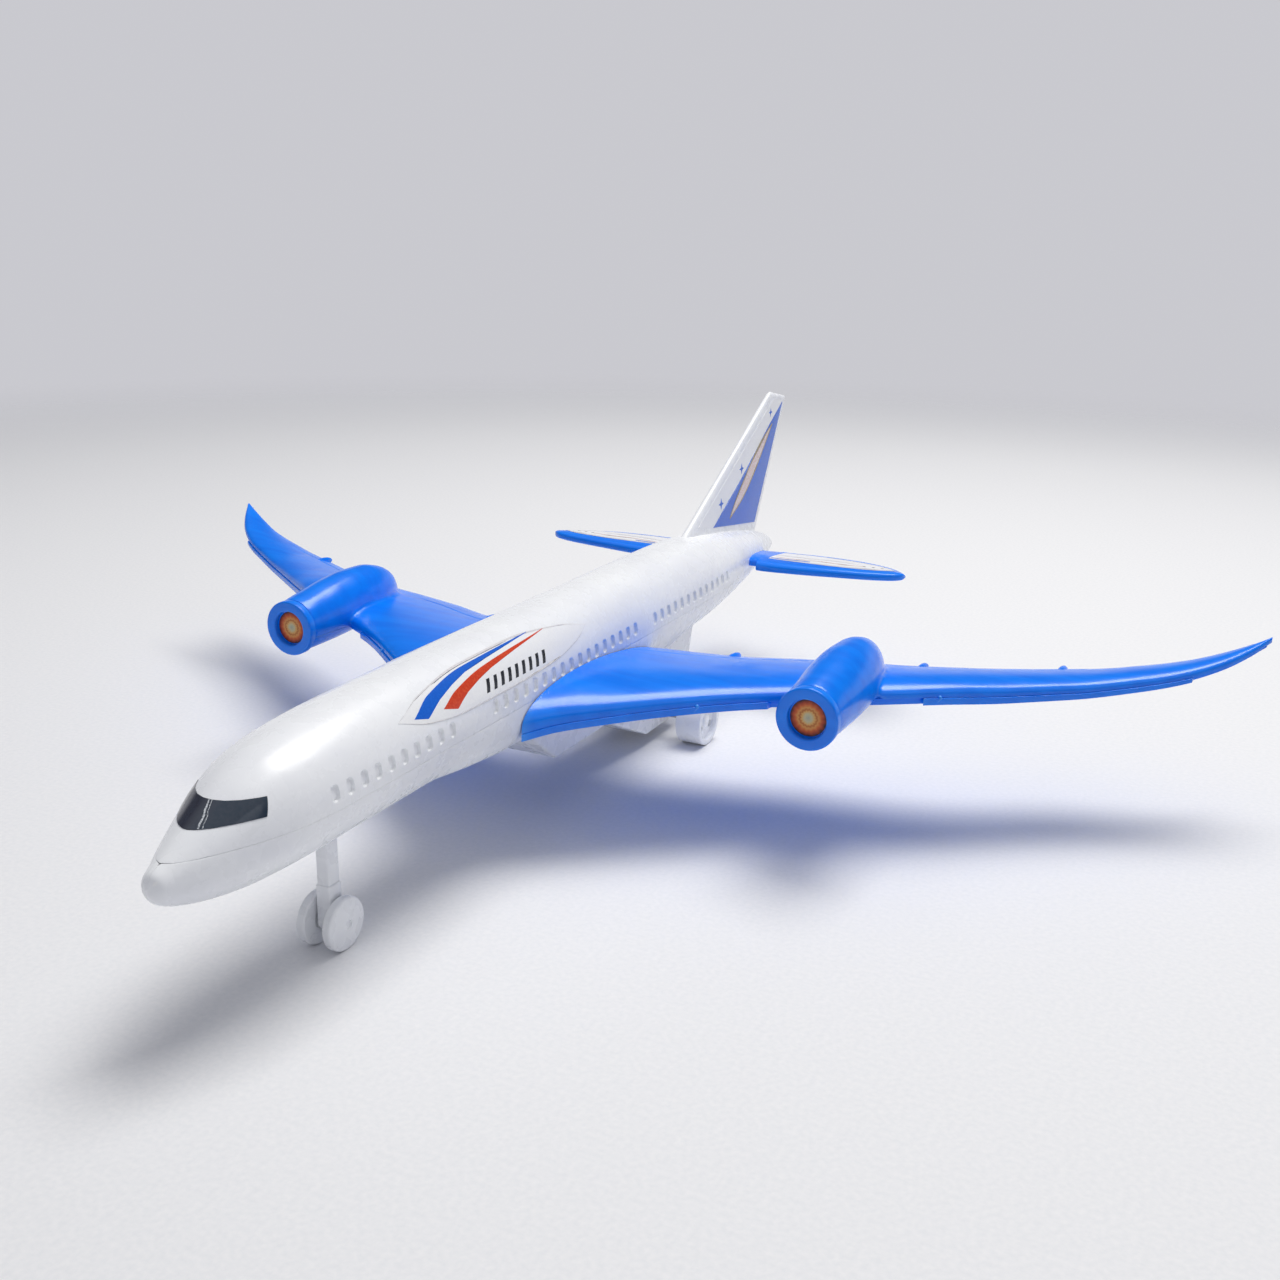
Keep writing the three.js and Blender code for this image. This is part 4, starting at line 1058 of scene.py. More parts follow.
        def wrap(around: np.ndarray, up: np.ndarray, lift: float) -> np.ndarray:
            """A point of the film from its share round the nose, -1 to 1, and its share up the film."""
            out = np.abs(around)
            low = low_z[0] + (low_z[1] - low_z[0]) * out
            high = high_z[0] + (high_z[1] - high_z[0]) * out
            z = low * (1 - up) + high * up
            run = np.linspace(self.stations[0][0] + 1, -160, 1200)
            section = self.at(run)
            front = np.interp(z, section[:, 0] + section[:, 1], run)
            back = ends[0] + (ends[1] - ends[0]) * up
            y = front + (back - front) * out**2
            return self.skin(y, np.sign(around) * self.angle(y, z), lift)

        def band(first: float, last: float, count: int) -> tuple[np.ndarray, np.ndarray]:
            """The lower and upper edge of a stretch of the film."""
            around = np.linspace(first, last, count)
            return np.column_stack([around, np.zeros(count)]), np.column_stack([around, np.ones(count)])

        shape = Shape().slab(wrap, band(-1, 1, 121), 13, (-0.1, 0.14))
        rng = np.random.default_rng(7)
        rows = 34
        up = np.linspace(0.015, 0.985, rows)
        drift = 0.245 - 0.1 * up + np.cumsum(rng.normal(0, 0.006, rows))
        width = 0.012 + 0.012 * rng.random(rows)
        left = np.column_stack([drift - width, up])
        right = np.column_stack([drift + width, up])
        # the fold's ridges take the pale material, a painted highlight of the crease
        shape.slab(wrap, (left, right), 4, (0.05, 0.27), 1)
        second = np.column_stack([drift + 0.06, up])
        shape.slab(wrap, (second, second + np.array([0.014, 0])), 3, (0.05, 0.2), 1)
        return shape.piece("windscreen_film")

    def side_film(self, side: Side) -> bpy.types.Object:
        """Builds a side film with its plain speed stripes.

        Args:
            side: which side of the fuselage.

        Returns:
            The piece.
        """
        def face(y: np.ndarray, z: np.ndarray, lift: float) -> np.ndarray:
            """A point on the fuselage's skin on this side."""
            return self.side(y, z, lift) * np.array([side.value, 1, 1])

        lower = spline([(-120.5, 62.4), (-107, 58.6), (-90, 56.95), (-66, 56.9), (-44, 57.6), (-26, 60.2),
                        (-16, 63.3)], 81)
        upper = spline([(-120.5, 62.4), (-107, 65.9), (-84, 68.0), (-57, 68.2), (-30, 66.2), (-16, 63.3)], 81)
        shape = Shape().slab(face, (lower, upper), 15, (-0.05, 0.06))
        margin = upper - lower
        shape.slab(face, (lower + margin * 0.004, lower + margin * 0.035), 2, (0.02, 0.075), 1)
        shape.slab(face, (upper - margin * 0.035, upper - margin * 0.004), 2, (0.02, 0.075), 1)
        ink = (0.03, 0.085)
        blue_top = spline([(-114, 61.6), (-104, 65.0), (-84, 67.2), (-46, 67.7)], 61)
        blue_low = spline([(-108.5, 60.2), (-99, 63.4), (-82, 66.1), (-46, 67.6)], 61)
        shape.slab(face, (blue_low, blue_top), 6, ink, 2)
        red_top = spline([(-101, 60.6), (-93, 63.2), (-76, 65.4), (-38, 66.9)], 61)
        red_low = spline([(-95, 59.0), (-88, 61.6), (-73, 64.2), (-38, 66.8)], 61)
        shape.slab(face, (red_low, red_top), 6, ink, 3)
        for y in range(-80, -46, 4):
            foot = straight([(y, 59.0), (y + 1.7, 59.0)], 4)
            shape.slab(face, (foot, foot + np.array([2.2, 3.4])), 7, ink, 4)
        return shape.piece("side_film_" + side.word)

    def build(self) -> None:
        """Builds and dresses the fuselage."""
        finish_piece(self.upper_shell(), [WHITE], Body.AIRFRAME, "white_plastic", "fuselage_upper_shell")
        finish_piece(self.lower_shell(), [WHITE], Body.AIRFRAME, "white_plastic", "fuselage_lower_shell")
        finish_piece(self.screw_wells(), [WHITE], Body.AIRFRAME, "white_plastic")
        finish_piece(self.windscreen(), [VINYL, FOLD_HIGHLIGHT], Body.AIRFRAME, "dark_film", "windscreen_sticker")
        inks = [CLEAR_FACE, FILM_EDGE, BLUE_INK, RED_INK, BLACK_INK]
        for side in Side:
            finish_piece(self.side_film(side), inks, Body.AIRFRAME, "clear_film", "side_sticker_" + side.word)


# ---------------------------------------------------------------- wings


@dataclass
class Wing:
    """One wing: its arched upper moulding, the cover under it and the engine between them."""

    side: Side
    # x, leading edge y and z, trailing edge y and z, height of the crown over the chord
    stations: tuple = (
        (18.3, -63.6, 41.2, 25.4, 44.4, 9.9),
        (26.0, -55.5, 43.0, 26.6, 44.5, 8.4),
        (36.0, -46.6, 44.1, 27.8, 44.6, 7.0),
        (54.0, -31.8, 45.6, 30.8, 44.8, 5.7),
        (72.0, -18.2, 46.4, 36.6, 45.2, 4.9),
        (90.0, -8.0, 47.0, 39.8, 46.0, 4.6),
        (108.0, 2.0, 47.4, 42.6, 46.7, 4.3),
        (126.0, 13.3, 47.6, 47.8, 47.2, 4.0),
        (144.0, 26.4, 47.0, 57.2, 47.0, 3.6),
        (162.0, 39.0, 47.2, 66.0, 47.4, 3.2),
        (180.0, 50.4, 48.9, 71.9, 49.9, 2.8),
        (193.5, 58.6, 51.3, 76.0, 52.8, 2.4),
        (204.0, 67.4, 54.2, 80.6, 56.0, 2.0),
        (212.0, 77.0, 57.4, 84.2, 59.0, 1.6),
        (216.9, 84.6, 60.2, 86.4, 61.0, 1.2),
    )
    gap: float = 0.12
    lip: float = 0.7
    lip_depth: float = 2.1
    lip_ends: tuple[float, float, float] = (78.8, 121.5, 196.0)
    fairings: tuple[float, float, float] = (49.5, 112.5, 155.0)
    gate_marks: tuple[float, float] = (60.0, 126.0)
    # y, half width, height above the engine's centre line, depth under it
    nacelle: tuple = (
        (-27.9, 9.2, 9.8, 9.0),
        (-27.0, 9.5, 10.05, 9.15),
        (-18.0, 10.2, 11.6, 9.0),
        (-8.0, 10.9, 13.2, 8.4),
        (2.0, 11.0, 14.1, 7.6),
        (12.0, 10.2, 13.9, 6.6),
        (20.0, 8.4, 12.2, 5.6),
        (26.0, 5.9, 9.4, 4.8),
        (30.0, 2.6, 5.6, 4.1),
        (30.8, 0.8, 4.0, 3.6),
    )
    engine: tuple[float, float] = (97.4, 49.4)
    split: float = 46.6
    ring_front: float = -31.4
    ring_length: float = 3.2
    ring_radius: float = 9.9
    hole: float = 6.1
    recess: float = 2.0

    def at(self, x: np.ndarray) -> np.ndarray:
        """The wing's stations at x, (n, 5)."""
        return monotone(np.array(self.stations, float), np.asarray(x, float))

    def points(self, x: np.ndarray, run: np.ndarray, lift: np.ndarray) -> np.ndarray:
        """Points over the wing's chord.

        Args:
            x: the stations, (n,).
            run: the distance behind the leading edge, (n, k).
            lift: the height over the chord line, (n, k).

        Returns:
            The points on this wing, (n, k, 3).
        """
        le_y, le_z, te_y, te_z, _ = self.at(x).T[:, :, None]
        share = run / (te_y - le_y)
        place = np.stack(np.broadcast_arrays(self.side.value * x[:, None], le_y + run, le_z + (te_z - le_z) * share
                                             + lift), axis=-1)
        return place

    def crown(self, share: np.ndarray) -> np.ndarray:
        """The arch's height at a share of the chord, 1 at its highest."""
        return share**0.4 * (1 - share) ** 0.85 / 0.4568

    def spanwise(self, extra: Sequence[float] = ()) -> np.ndarray:
        """The stations of a wing mesh, closer together at the engine and the tip."""
        spread = [np.arange(18.3, 84, 2.4), np.arange(84, 112, 0.9), np.arange(112, 200, 2.6),
                  np.linspace(200, 216.9, 14), np.array(extra)]
        return np.unique(np.round(np.concatenate(spread), 3))

    def upper(self) -> bpy.types.Object:
        """Builds the upper moulding: the arched wing with the upper half of the nacelle.

        Returns:
            The piece.
        """
        x = self.spanwise()
        share = np.linspace(0, 1, 44) ** 1.6
        hinge = 0.8
        share = np.sort(np.concatenate([share, hinge + np.array([-0.012, -0.004, 0.004, 0.012])]))
        table = self.at(x)
        chord = (table[:, 2] - table[:, 0])[:, None]
        # the flap's hinge line, engraved in the tool and fading out towards the tip
        groove = 0.22 * np.exp(-(((share - hinge) / 0.007) ** 2)) * smoothstep(190, 150, x)[:, None]
        arch = self.crown(share) * table[:, 4:5] + 0.25 * (1 - 0.5 * share) - groove * (share < 0.95)
        over = self.points(x, chord * share, arch)
        back = np.linspace(1, 0, 9)
        under = self.points(x, chord * back, np.zeros_like(back) + 0.0 * chord)
        made = Shape().loft(np.concatenate([over, under], axis=1)).piece("wing_upper_" + self.side.word, 40)
        made = combine(made, self.nacelle_half(True), Cut.JOIN, 40)
        middle = self.engine[0] * self.side.value
        low = Vector((middle - 15, -30, self.split + 0.5))
        soften_creases(made, 2.6, 14, low, Vector((middle + 15, 34, 70)))
        shade(made, 40)
        return made

    def nacelle_half(self, high: bool) -> bpy.types.Object:
        """Builds the nacelle above or under its parting line.

        Args:
            high: whether it is the upper half.

        Returns:
            The closed half.
        """
        y = np.unique(np.concatenate([np.linspace(-27.9, -26.6, 6), np.linspace(-26.6, 26, 50),
                                      np.linspace(26, 30.8, 12)]))
        half, above, below = monotone(np.array(self.nacelle, float), y).T[:, :, None]
        centre_x, centre_z = self.engine
        part = self.split if high else self.split - self.gap
        turn = math.pi - np.arccos(np.clip((centre_z - part) / below, -1, 1))
        share = np.linspace(-1, 1, 57)
        angle = turn * share if high else math.pi + (math.pi - turn) * share
        rise = np.where(np.cos(angle) > 0, above, below)
        x = self.side.value * centre_x + np.sin(angle) * half
        place = np.stack(np.broadcast_arrays(x, y[:, None], centre_z + np.cos(angle) * rise), axis=-1)
        return Shape().loft(place).piece("tool")

    def cover(self) -> bpy.types.Object:
        """Builds the cover under the wing, with its lip, fairings, gate marks and the nacelle's lower half.

        Returns:
            The piece.
        """
        step = 0.12
        cuts = [end + d for end in self.lip_ends for d in (-step, step)]
        x = self.spanwise([*cuts, 18.5])
        x = x[(x > 18.4) & (x < 216)]
        inner, outer, last = self.lip_ends
        lipped = ((x < inner) | ((x > outer) & (x < last)))[:, None]
        table = self.at(x)
        chord = (table[:, 2] - table[:, 0])[:, None]
        front = np.where(lipped, -self.lip, 1.5)
        depth = np.minimum(self.lip_depth, 0.5 + chord * 0.05)
        top, bottom, round_ = -self.gap, -self.gap - depth - 0.2, 0.28
        curve = np.radians(np.linspace(90, 180, 5))
        lead = front + round_ + round_ * np.cos(curve)
        lead_z = top - round_ + round_ * np.sin(curve)
        keel = np.radians(np.linspace(180, 270, 5))
        toe = front + round_ + round_ * np.cos(keel)
        toe_z = bottom + round_ + round_ * np.sin(keel)
        zero = np.zeros_like(chord)
        back = chord - 0.9
        run = np.hstack([back, front + 1.4 + zero, lead, toe, front + 3 + zero, chord * 0.4, chord * 0.7, back - 0.6,
                         back])
        lift = np.hstack([top + zero, top + zero, lead_z + zero, toe_z, bottom + zero, bottom - 0.25 + zero,
                          bottom * 0.8, top - 0.75 + zero, top - 0.5 + zero])
        made = Shape().loft(self.points(x, run, lift)).piece("wing_cover_fine_" + self.side.word, 40)
        made = combine(made, self.nacelle_half(False), Cut.JOIN, 40)
        for place in self.fairings:
            made = combine(made, self.fairing(place), Cut.JOIN, 40)
        for place in self.gate_marks:
            made = combine(made, self.gate_mark(place), Cut.JOIN, 40)
        return made

    def fairing(self, x: float) -> bpy.types.Object:
        """Builds the boat-shaped flap-track fairing under the trailing edge at x."""
        _, _, te_y, te_z, _ = self.at(np.array([x]))[0]
        along = np.linspace(-1, 1, 25)
        girth = np.maximum(1 - np.abs(along) ** 2.6, 0.002) ** 0.5
        turn = np.arange(20) * 2 * math.pi / 20
        ring_x = self.side.value * x + 1.5 * girth[:, None] * np.cos(turn)
        ring_z = te_z + 0.3 + 1.6 * girth[:, None] * np.sin(turn) - 0.5 * along[:, None]
        ring_y = te_y - 2.6 + 5.5 * along[:, None] + np.zeros(20)
        return Shape().loft(np.stack([ring_x, ring_y, ring_z], axis=-1)).piece("tool")

    def gate_mark(self, x: float) -> bpy.types.Object:
        """Builds the stub that the moulding's gate left on the lip at x."""
        le_y, le_z, _, _, _ = self.at(np.array([x]))[0]
        profile = [(0, -0.6), (0.75, -0.5), (0.7, 0.25), (0.4, 0.6), (0, 0.7)]
        return Shape().turned(profile, (self.side.value * x, le_y - 0.1, le_z), "Z", 16).piece("tool")

    def intake(self) -> bpy.types.Object:
        """Builds the intake ring with its rounded lip.

        Returns:
            The piece.
        """
        front, back = self.ring_front, self.ring_front + self.ring_length
        outer, hole, soft = self.ring_radius, self.hole, 0.7
        lip = arc((outer - soft, front + soft), soft, -90, 0, 7)
        mouth = arc((hole + 0.7, front + 0.6), 0.6, 180, 270, 6)
        profile = [(0, front + self.recess), (hole, front + self.recess), (hole + 0.02, front + 1.4), *mouth, *lip,
                   (outer, back - 0.4), (outer - 0.4, back), (0, back)]
        place = (self.side.value * self.engine[0], 0, self.engine[1])
        return Shape().turned(profile, place, "Y", 72).piece("intake_ring_" + self.side.word)

    def label(self) -> bpy.types.Object:
        """Builds the round printed label in the intake.

        Returns:
            The piece.
        """
        floor = self.ring_front + self.recess
        profile = [(0, floor - 0.16), (self.hole - 0.35, floor - 0.13), (self.hole - 0.3, floor - 0.08),
                   (self.hole - 0.3, floor + 0.05), (0, floor + 0.05)]
        place = (self.side.value * self.engine[0], 0, self.engine[1])
        return Shape().turned(profile, place, "Y", 64).piece("engine_label_" + self.side.word)

    def build(self) -> None:
        """Builds and dresses the wing."""
        word = self.side.word
        x, z = self.engine
        print_finish = EngineLabel("engine_label_paper", (x, self.ring_front, z), self.hole - 0.3)
        finish_piece(self.upper(), [BLUE], Body.AIRFRAME, "blue_plastic", "wing_" + word)
        finish_piece(self.cover(), [BLUE], Body.AIRFRAME, "blue_plastic", "wing_cover_" + word)
        finish_piece(self.intake(), [BLUE], Body.AIRFRAME, "blue_plastic", "engine_intake_" + word)
        finish_piece(self.label(), [print_finish], Body.AIRFRAME, "engine_print", "engine_sticker_" + word)


# ---------------------------------------------------------------- tail


@dataclass
class Fin:
    """The white fin and its two printed films."""

    fuselage: Fuselage
    # y and z of the outline's corners, in the middle plane
    base_front: tuple[float, float] = (84.0, 66.0)
    base_back: tuple[float, float] = (163.4, 56.0)
    top_front: tuple[float, float] = (177.9, 117.7)
    top_back: tuple[float, float] = (196.9, 114.2)
    thick: tuple[float, float] = (5.0, 2.6)
    top_radius: float = 1.2
    # share of the chord, share of half the thickness
    section: tuple = ((0, 0.02), (0.02, 0.6), (0.08, 0.9), (0.3, 1.0), (0.7, 0.8), (1, 0.35))

    def corners(self, level: np.ndarray) -> tuple[np.ndarray, np.ndarray, np.ndarray, np.ndarray]:
        """Front y, front z, back y and back z at shares of the fin's height."""
        front = [self.base_front[i] + (self.top_front[i] - self.base_front[i]) * level for i in (0, 1)]
        back = [self.base_back[i] + (self.top_back[i] - self.base_back[i]) * level for i in (0, 1)]
        return front[0], front[1], back[0], back[1]

    def half(self, share: np.ndarray, level: np.ndarray) -> np.ndarray:
        """Half the fin's thickness at a share of the chord and of the height."""
        table = np.array(self.section, float)
        table[:, 0] = np.sqrt(table[:, 0])
        form = monotone(table, np.sqrt(np.ravel(share))).reshape(np.shape(share))
        return form * (self.thick[0] + (self.thick[1] - self.thick[0]) * level) / 2

    def blade(self) -> bpy.types.Object:
        """Builds the fin, with a rounded top and a foot that meets the fuselage.

        Returns:
            The piece.
        """
        rounding = np.linspace(0, math.pi / 2, 8)[1:]
        height = self.top_front[1] - self.base_front[1]
        level = np.concatenate([np.linspace(0, 1 - self.top_radius / height, 30),
                                1 - self.top_radius / height * (1 - np.sin(rounding))])
        pinch = np.concatenate([np.ones(30), np.cos(rounding) * 0.97 + 0.03])
        share = np.concatenate([np.linspace(0, 1, 34) ** 2, [1.0]])
        front_y, front_z, back_y, back_z = (c[:, None] for c in self.corners(level))
        corner = 2.2 * (1 - pinch[:, None]) * 0.5
        y = front_y + corner + (back_y - front_y - 1.6 * corner) * share
        z = front_z + (back_z - front_z) * share
        x = self.half(np.broadcast_to(share, y.shape), level[:, None]) * pinch[:, None]
        x[:, -1] = 0.02
        section = self.fuselage.at(y)
        roof = section[..., 0] + section[..., 1] * np.sqrt(np.clip(1 - (x / section[..., 2]) ** 2, 0, 1)) - 0.1
        z = np.where(level[:, None] < 0.18, np.maximum(z, roof), z)
        port = np.stack([x, y, z], axis=-1)
        starboard = np.stack([-x, y, z], axis=-1)[:, ::-1]
        return Shape().loft(np.concatenate([port, starboard[:, 1:-1]], axis=1)).piece("fin_blade", 38)

    def film(self, side: Side) -> bpy.types.Object:
        """Builds a printed film: a blue swept panel, a pale streak in a thin gold line, and small diamonds.

        Args:
            side: which face of the fin.

        Returns:
            The piece.
        """
        def face(y: np.ndarray, z: np.ndarray, lift: float) -> np.ndarray:
            """A point on the fin's face from y and z."""
            level = (z - self.base_front[1]) / (self.top_front[1] - self.base_front[1])
            for _ in range(6):
                front_y, front_z, back_y, back_z = self.corners(level)
                share = np.clip((y - front_y) / (back_y - front_y), 0, 1)
                level = level + (z - front_z - (back_z - front_z) * share) / (self.top_front[1] - self.base_front[1])
            x = self.half(share, level) + lift
            return np.stack([side.value * x, y, z], axis=-1)

        shape = Shape()
        front = straight([(100, 71.6), (180.2, 114.6)], 60)
        back = straight([(164.4, 62.0), (193.2, 112.6)], 60)
        shape.slab(face, (front, back), 26, (-0.05, 0.1))
        ink = (0.04, 0.13)
        blue_front = spline([(115, 69.2), (131, 77.0), (152, 88.5), (172, 101.5), (191.5, 112.0)], 50)
        blue_back = straight([(163.8, 62.4), (192.8, 112.0)], 50)
        shape.slab(face, (blue_front, blue_back), 12, ink, 1)
        streak_low = spline([(133, 69.6), (146, 75.4), (159, 84.4), (170, 94.2), (180, 103.6)], 40)
        streak_top = spline([(133, 69.6), (139, 76.4), (151.5, 86.6), (165, 96.6), (180, 103.6)], 40)
        shape.slab(face, (streak_low, streak_top), 5, (0.05, 0.16), 2)
        for line in (streak_low, streak_top):
            shape.slab(face, (line, line + np.array([-0.55, 0.35])), 2, (0.05, 0.19), 3)
        for y, z, size in ((123, 77.6, 2.6), (144.5, 89.0, 2.5), (177, 109.0, 2.1)):
            for reach_y, reach_z in ((size, size * 0.32), (size * 0.38, size)):
                top = straight([(y - reach_y, z), (y, z + reach_z), (y + reach_y, z)], 9)
                low = straight([(y - reach_y, z), (y, z - reach_z), (y + reach_y, z)], 9)
                shape.slab(face, (low, top), 3, ink, 1)
        return shape.piece("fin_film_" + side.word)

    def build(self) -> None:
        """Builds and dresses the fin."""
        finish_piece(self.blade(), [WHITE], Body.AIRFRAME, "white_plastic", "fin")
        inks = [CLEAR_FACE, BLUE_INK, PALE_INK, GOLD_INK]
        for side in Side:
            finish_piece(self.film(side), inks, Body.AIRFRAME, "printed_film", "fin_sticker_" + side.word)


@dataclass
class Tailplane:
    """One side of the tailplane with the film on its top."""

    side: Side
    fuselage: Fuselage
    # x, leading edge y, trailing edge y, underside z, thickness
    stations: tuple = (
        (10.2, 128.5, 153.6, 51.4, 3.4),
        (18.6, 127.6, 153.3, 51.6, 3.4),
        (19.2, 121.3, 153.2, 51.6, 4.2),
        (36.0, 120.4, 151.9, 52.2, 4.0),
        (54.0, 121.3, 149.0, 52.9, 3.6),
        (68.0, 122.6, 143.4, 53.4, 3.3),
        (75.0, 124.2, 138.0, 53.7, 3.0),
        (79.0, 127.0, 133.0, 53.9, 2.4),
        (79.6, 128.6, 131.4, 54.2, 1.6),
    )
    # share of the chord, share of the thickness over the underside
    section: tuple = ((0, 0.35), (0.02, 0.74), (0.07, 0.94), (0.3, 1.0), (0.7, 0.7), (1, 0.35))

    def top(self, x: np.ndarray, y: np.ndarray, lift: float) -> np.ndarray:
        """Points of the tailplane's top.

        Args:
            x: how far out.
            y: how far back.
            lift: how far over the top.

        Returns:
            The points on this side, with a last axis of 3.
        """
        shape = np.broadcast(x, y).shape
        flat_x = np.broadcast_to(x, shape).ravel()
        le, te, z, thick = monotone(np.array(self.stations, float), flat_x).T
        share = np.clip((np.broadcast_to(y, shape).ravel() - le) / (te - le), 0, 1)
        table = np.array(self.section, float)
        table[:, 0] = np.sqrt(table[:, 0])
        rise = monotone(table, np.sqrt(share))[:, 0]
        height = z + thick * rise + lift
        return np.stack([self.side.value * flat_x, np.broadcast_to(y, shape).ravel(), height], axis=-1).reshape(
            *shape, 3)

    def blade(self) -> bpy.types.Object:
        """Builds the tailplane, with a round leading edge and a root that meets the fuselage.

        Returns:
            The piece.
        """
        x = np.unique(np.concatenate([np.linspace(10.2, 18.5, 8), np.linspace(18.6, 19.3, 8),
                                      np.linspace(19.3, 76, 36), np.linspace(76, 79.6, 10)]))
        le, te, z, thick = (c[:, None] for c in monotone(np.array(self.stations, float), x).T)
        share = np.linspace(0, 1, 34) ** 1.7
        y = le + (te - le) * share
        over = self.top(x[:, None], y, 0.0)
        fillet = np.radians(np.linspace(270, 180, 7))
        radius = 0.35 * thick
        lead_y = le + radius + radius * np.cos(fillet)
        lead_z = z + radius + radius * np.sin(fillet)
        rows = np.hstack([te - 0.3 + 0 * z, te - (te - le) * 0.5, lead_y[:, :-1]])
        lifts = np.hstack([z, z, lead_z[:, :-1]])
        under = np.stack(np.broadcast_arrays(self.side.value * x[:, None], rows, lifts), axis=-1)
        rings = np.concatenate([over, under], axis=1)
        # the root ring slides along X on to the fuselage's skin
        root = rings[0]
        angle = self.fuselage.angle(root[:, 1], root[:, 2])
        skin_x = self.fuselage.skin(root[:, 1], angle)[:, 0]
        root[:, 0] = self.side.value * (skin_x - 0.15)
        return Shape().loft(rings).piece("tailplane_blade_" + self.side.word, 38)

    def film(self) -> bpy.types.Object:
        """Builds the printed film: a thin grey outline, faint streaks and three small dots near the tip.

        Returns:
            The piece.
        """
        front = spline([(22, 128.6), (36, 126.9), (50, 126.2), (64, 126.6), (72, 128.4), (75.4, 131.0)], 50)
        back = spline([(22, 149.4), (38, 148.0), (54, 144.8), (66, 140.0), (73, 134.8), (75.4, 131.4)], 50)
        shape = Shape().slab(self.top, (front, back), 14, (-0.05, 0.1))
        inward = (back - front) / np.linalg.norm(back - front, axis=1)[:, None]
        shape.slab(self.top, (front + inward * 0.5, front + inward * 1.0), 2, (0.04, 0.13), 1)
        shape.slab(self.top, (back - inward * 0.9, back - inward * 0.45), 2, (0.04, 0.13), 1)
        wave = spline([(24, 131.6), (34, 130.2), (44, 131.4), (54, 129.8), (62, 131.0)], 40)
        shape.slab(self.top, (wave, wave + np.array([0, 1.1])), 3, (0.04, 0.13), 2)
        wash = spline([(23, 137.0), (36, 135.4), (48, 136.8), (58, 135.0)], 40)
        shape.slab(self.top, (wash, wash + np.array([0, 2.0])), 3, (0.04, 0.13), 3)
        band = spline([(22.6, 129.4), (30, 128.6), (40, 128.4)], 24)
        shape.slab(self.top, (band, band + np.array([0, 0.9])), 2, (0.04, 0.135), 4)
        for x in (62.4, 66.0, 69.6):
            ring = np.array(arc((x, 131.4 + (x - 62.4) * 0.12), 0.62, 180, 0, 9))
            flip = np.array([[1, -1]]) * (ring - [0, 131.4 + (x - 62.4) * 0.12]) + [0, 131.4 + (x - 62.4) * 0.12]
            shape.slab(self.top, (flip, ring), 3, (0.04, 0.14), 5)
        return shape.piece("tailplane_film_" + self.side.word)

    def build(self) -> None:
        """Builds and dresses this side of the tailplane."""
        word = self.side.word
        finish_piece(self.blade(), [BLUE], Body.AIRFRAME, "blue_plastic", "tailplane_" + word)
        inks = [CLEAR_FACE, FILM_EDGE, PALE_INK, FILM_EDGE, BLUE_INK, BLACK_INK]
        finish_piece(self.film(), inks, Body.AIRFRAME, "printed_film", "tailplane_sticker_" + word)


# ---------------------------------------------------------------- undercarriage


@dataclass
class NoseGear:
    """The nose leg with its steel axle and two domed wheels."""

    y: float = -134.5
    radius: float = 7.65
    outer: float = 6.4
    width: float = 3.5
    axle: float = 0.9
    facets: int = 24

    @property
    def centre_z(self) -> float:
        """The axle's height, which is that of the CAD wheel's flat foot."""
        return self.radius * math.cos(math.pi / self.facets)

    def leg(self) -> bpy.types.Object:
        """Builds the leg: a slim upper part, a stouter lower part and a round foot.

        Returns:
            The piece.
        """
        z = self.centre_z
        made = block((-2.4, self.y - 2.7, z), (2.4, self.y + 2.7, 19), 0.6, "nose_leg")
        made = combine(made, block((-2.0, self.y - 2.4, 16), (2.0, self.y + 2.4, 39), 0.5), Cut.JOIN)
        made = combine(made, bar((0, self.y, z), "X", (-2.4, 2.4), 2.7, 0.3), Cut.JOIN)
        return combine(made, bar((0, self.y, z), "X", (-5, 5), self.axle + 0.2), Cut.REMOVE)

    def wheel(self, side: Side) -> bpy.types.Object:
        """Builds a wheel with a domed face.

        Args:
            side: which end of the axle.

        Returns:
            The piece.
        """
        face, inner, edge = self.outer, self.outer - self.width, 0.7
        dome = [(r, face - 0.75 * (r / (self.radius - edge)) ** 2) for r in np.linspace(1.6, self.radius - 1.2, 9)]
        corner = arc((self.radius - edge, face - 0.75 - edge * 0.9), edge, 80, 0, 6)
        hub = [(0, face - 0.6), (1.15, face - 0.55), (1.35, face - 0.1)]
        profile = [*hub, *dome, *corner, (self.radius, inner + 0.5), (self.radius - 0.4, inner),
                   (self.axle + 2.1, inner), (self.axle + 1.9, inner + 0.4), (self.axle + 0.25, inner + 0.4),
                   (self.axle + 0.25, face - 1.6), (0, face - 1.6)]
        place = (0, self.y, self.centre_z)
        flipped = [(r, side.value * along) for r, along in profile]
        return Shape().turned(flipped, place, "X", 72).piece("nose_tyre_" + side.word)

    def build(self) -> None:
        """Builds and dresses the nose gear."""
        finish_piece(self.leg(), [WHITE], Body.AIRFRAME, "white_plastic", "nose_gear_strut")
        rod = bar((0, self.y, self.centre_z), "X", (-self.outer + 1.7, self.outer - 1.7), self.axle, 0.15)
        rod.name = "nose_axle_rod"
        finish_piece(rod, [STEEL], Body.NOSE_WHEELS, "steel", "nose_axle")
        for side in Side:
            finish_piece(self.wheel(side), [WHITE], Body.NOSE_WHEELS, "white_plastic", "nose_wheel_" + side.word)


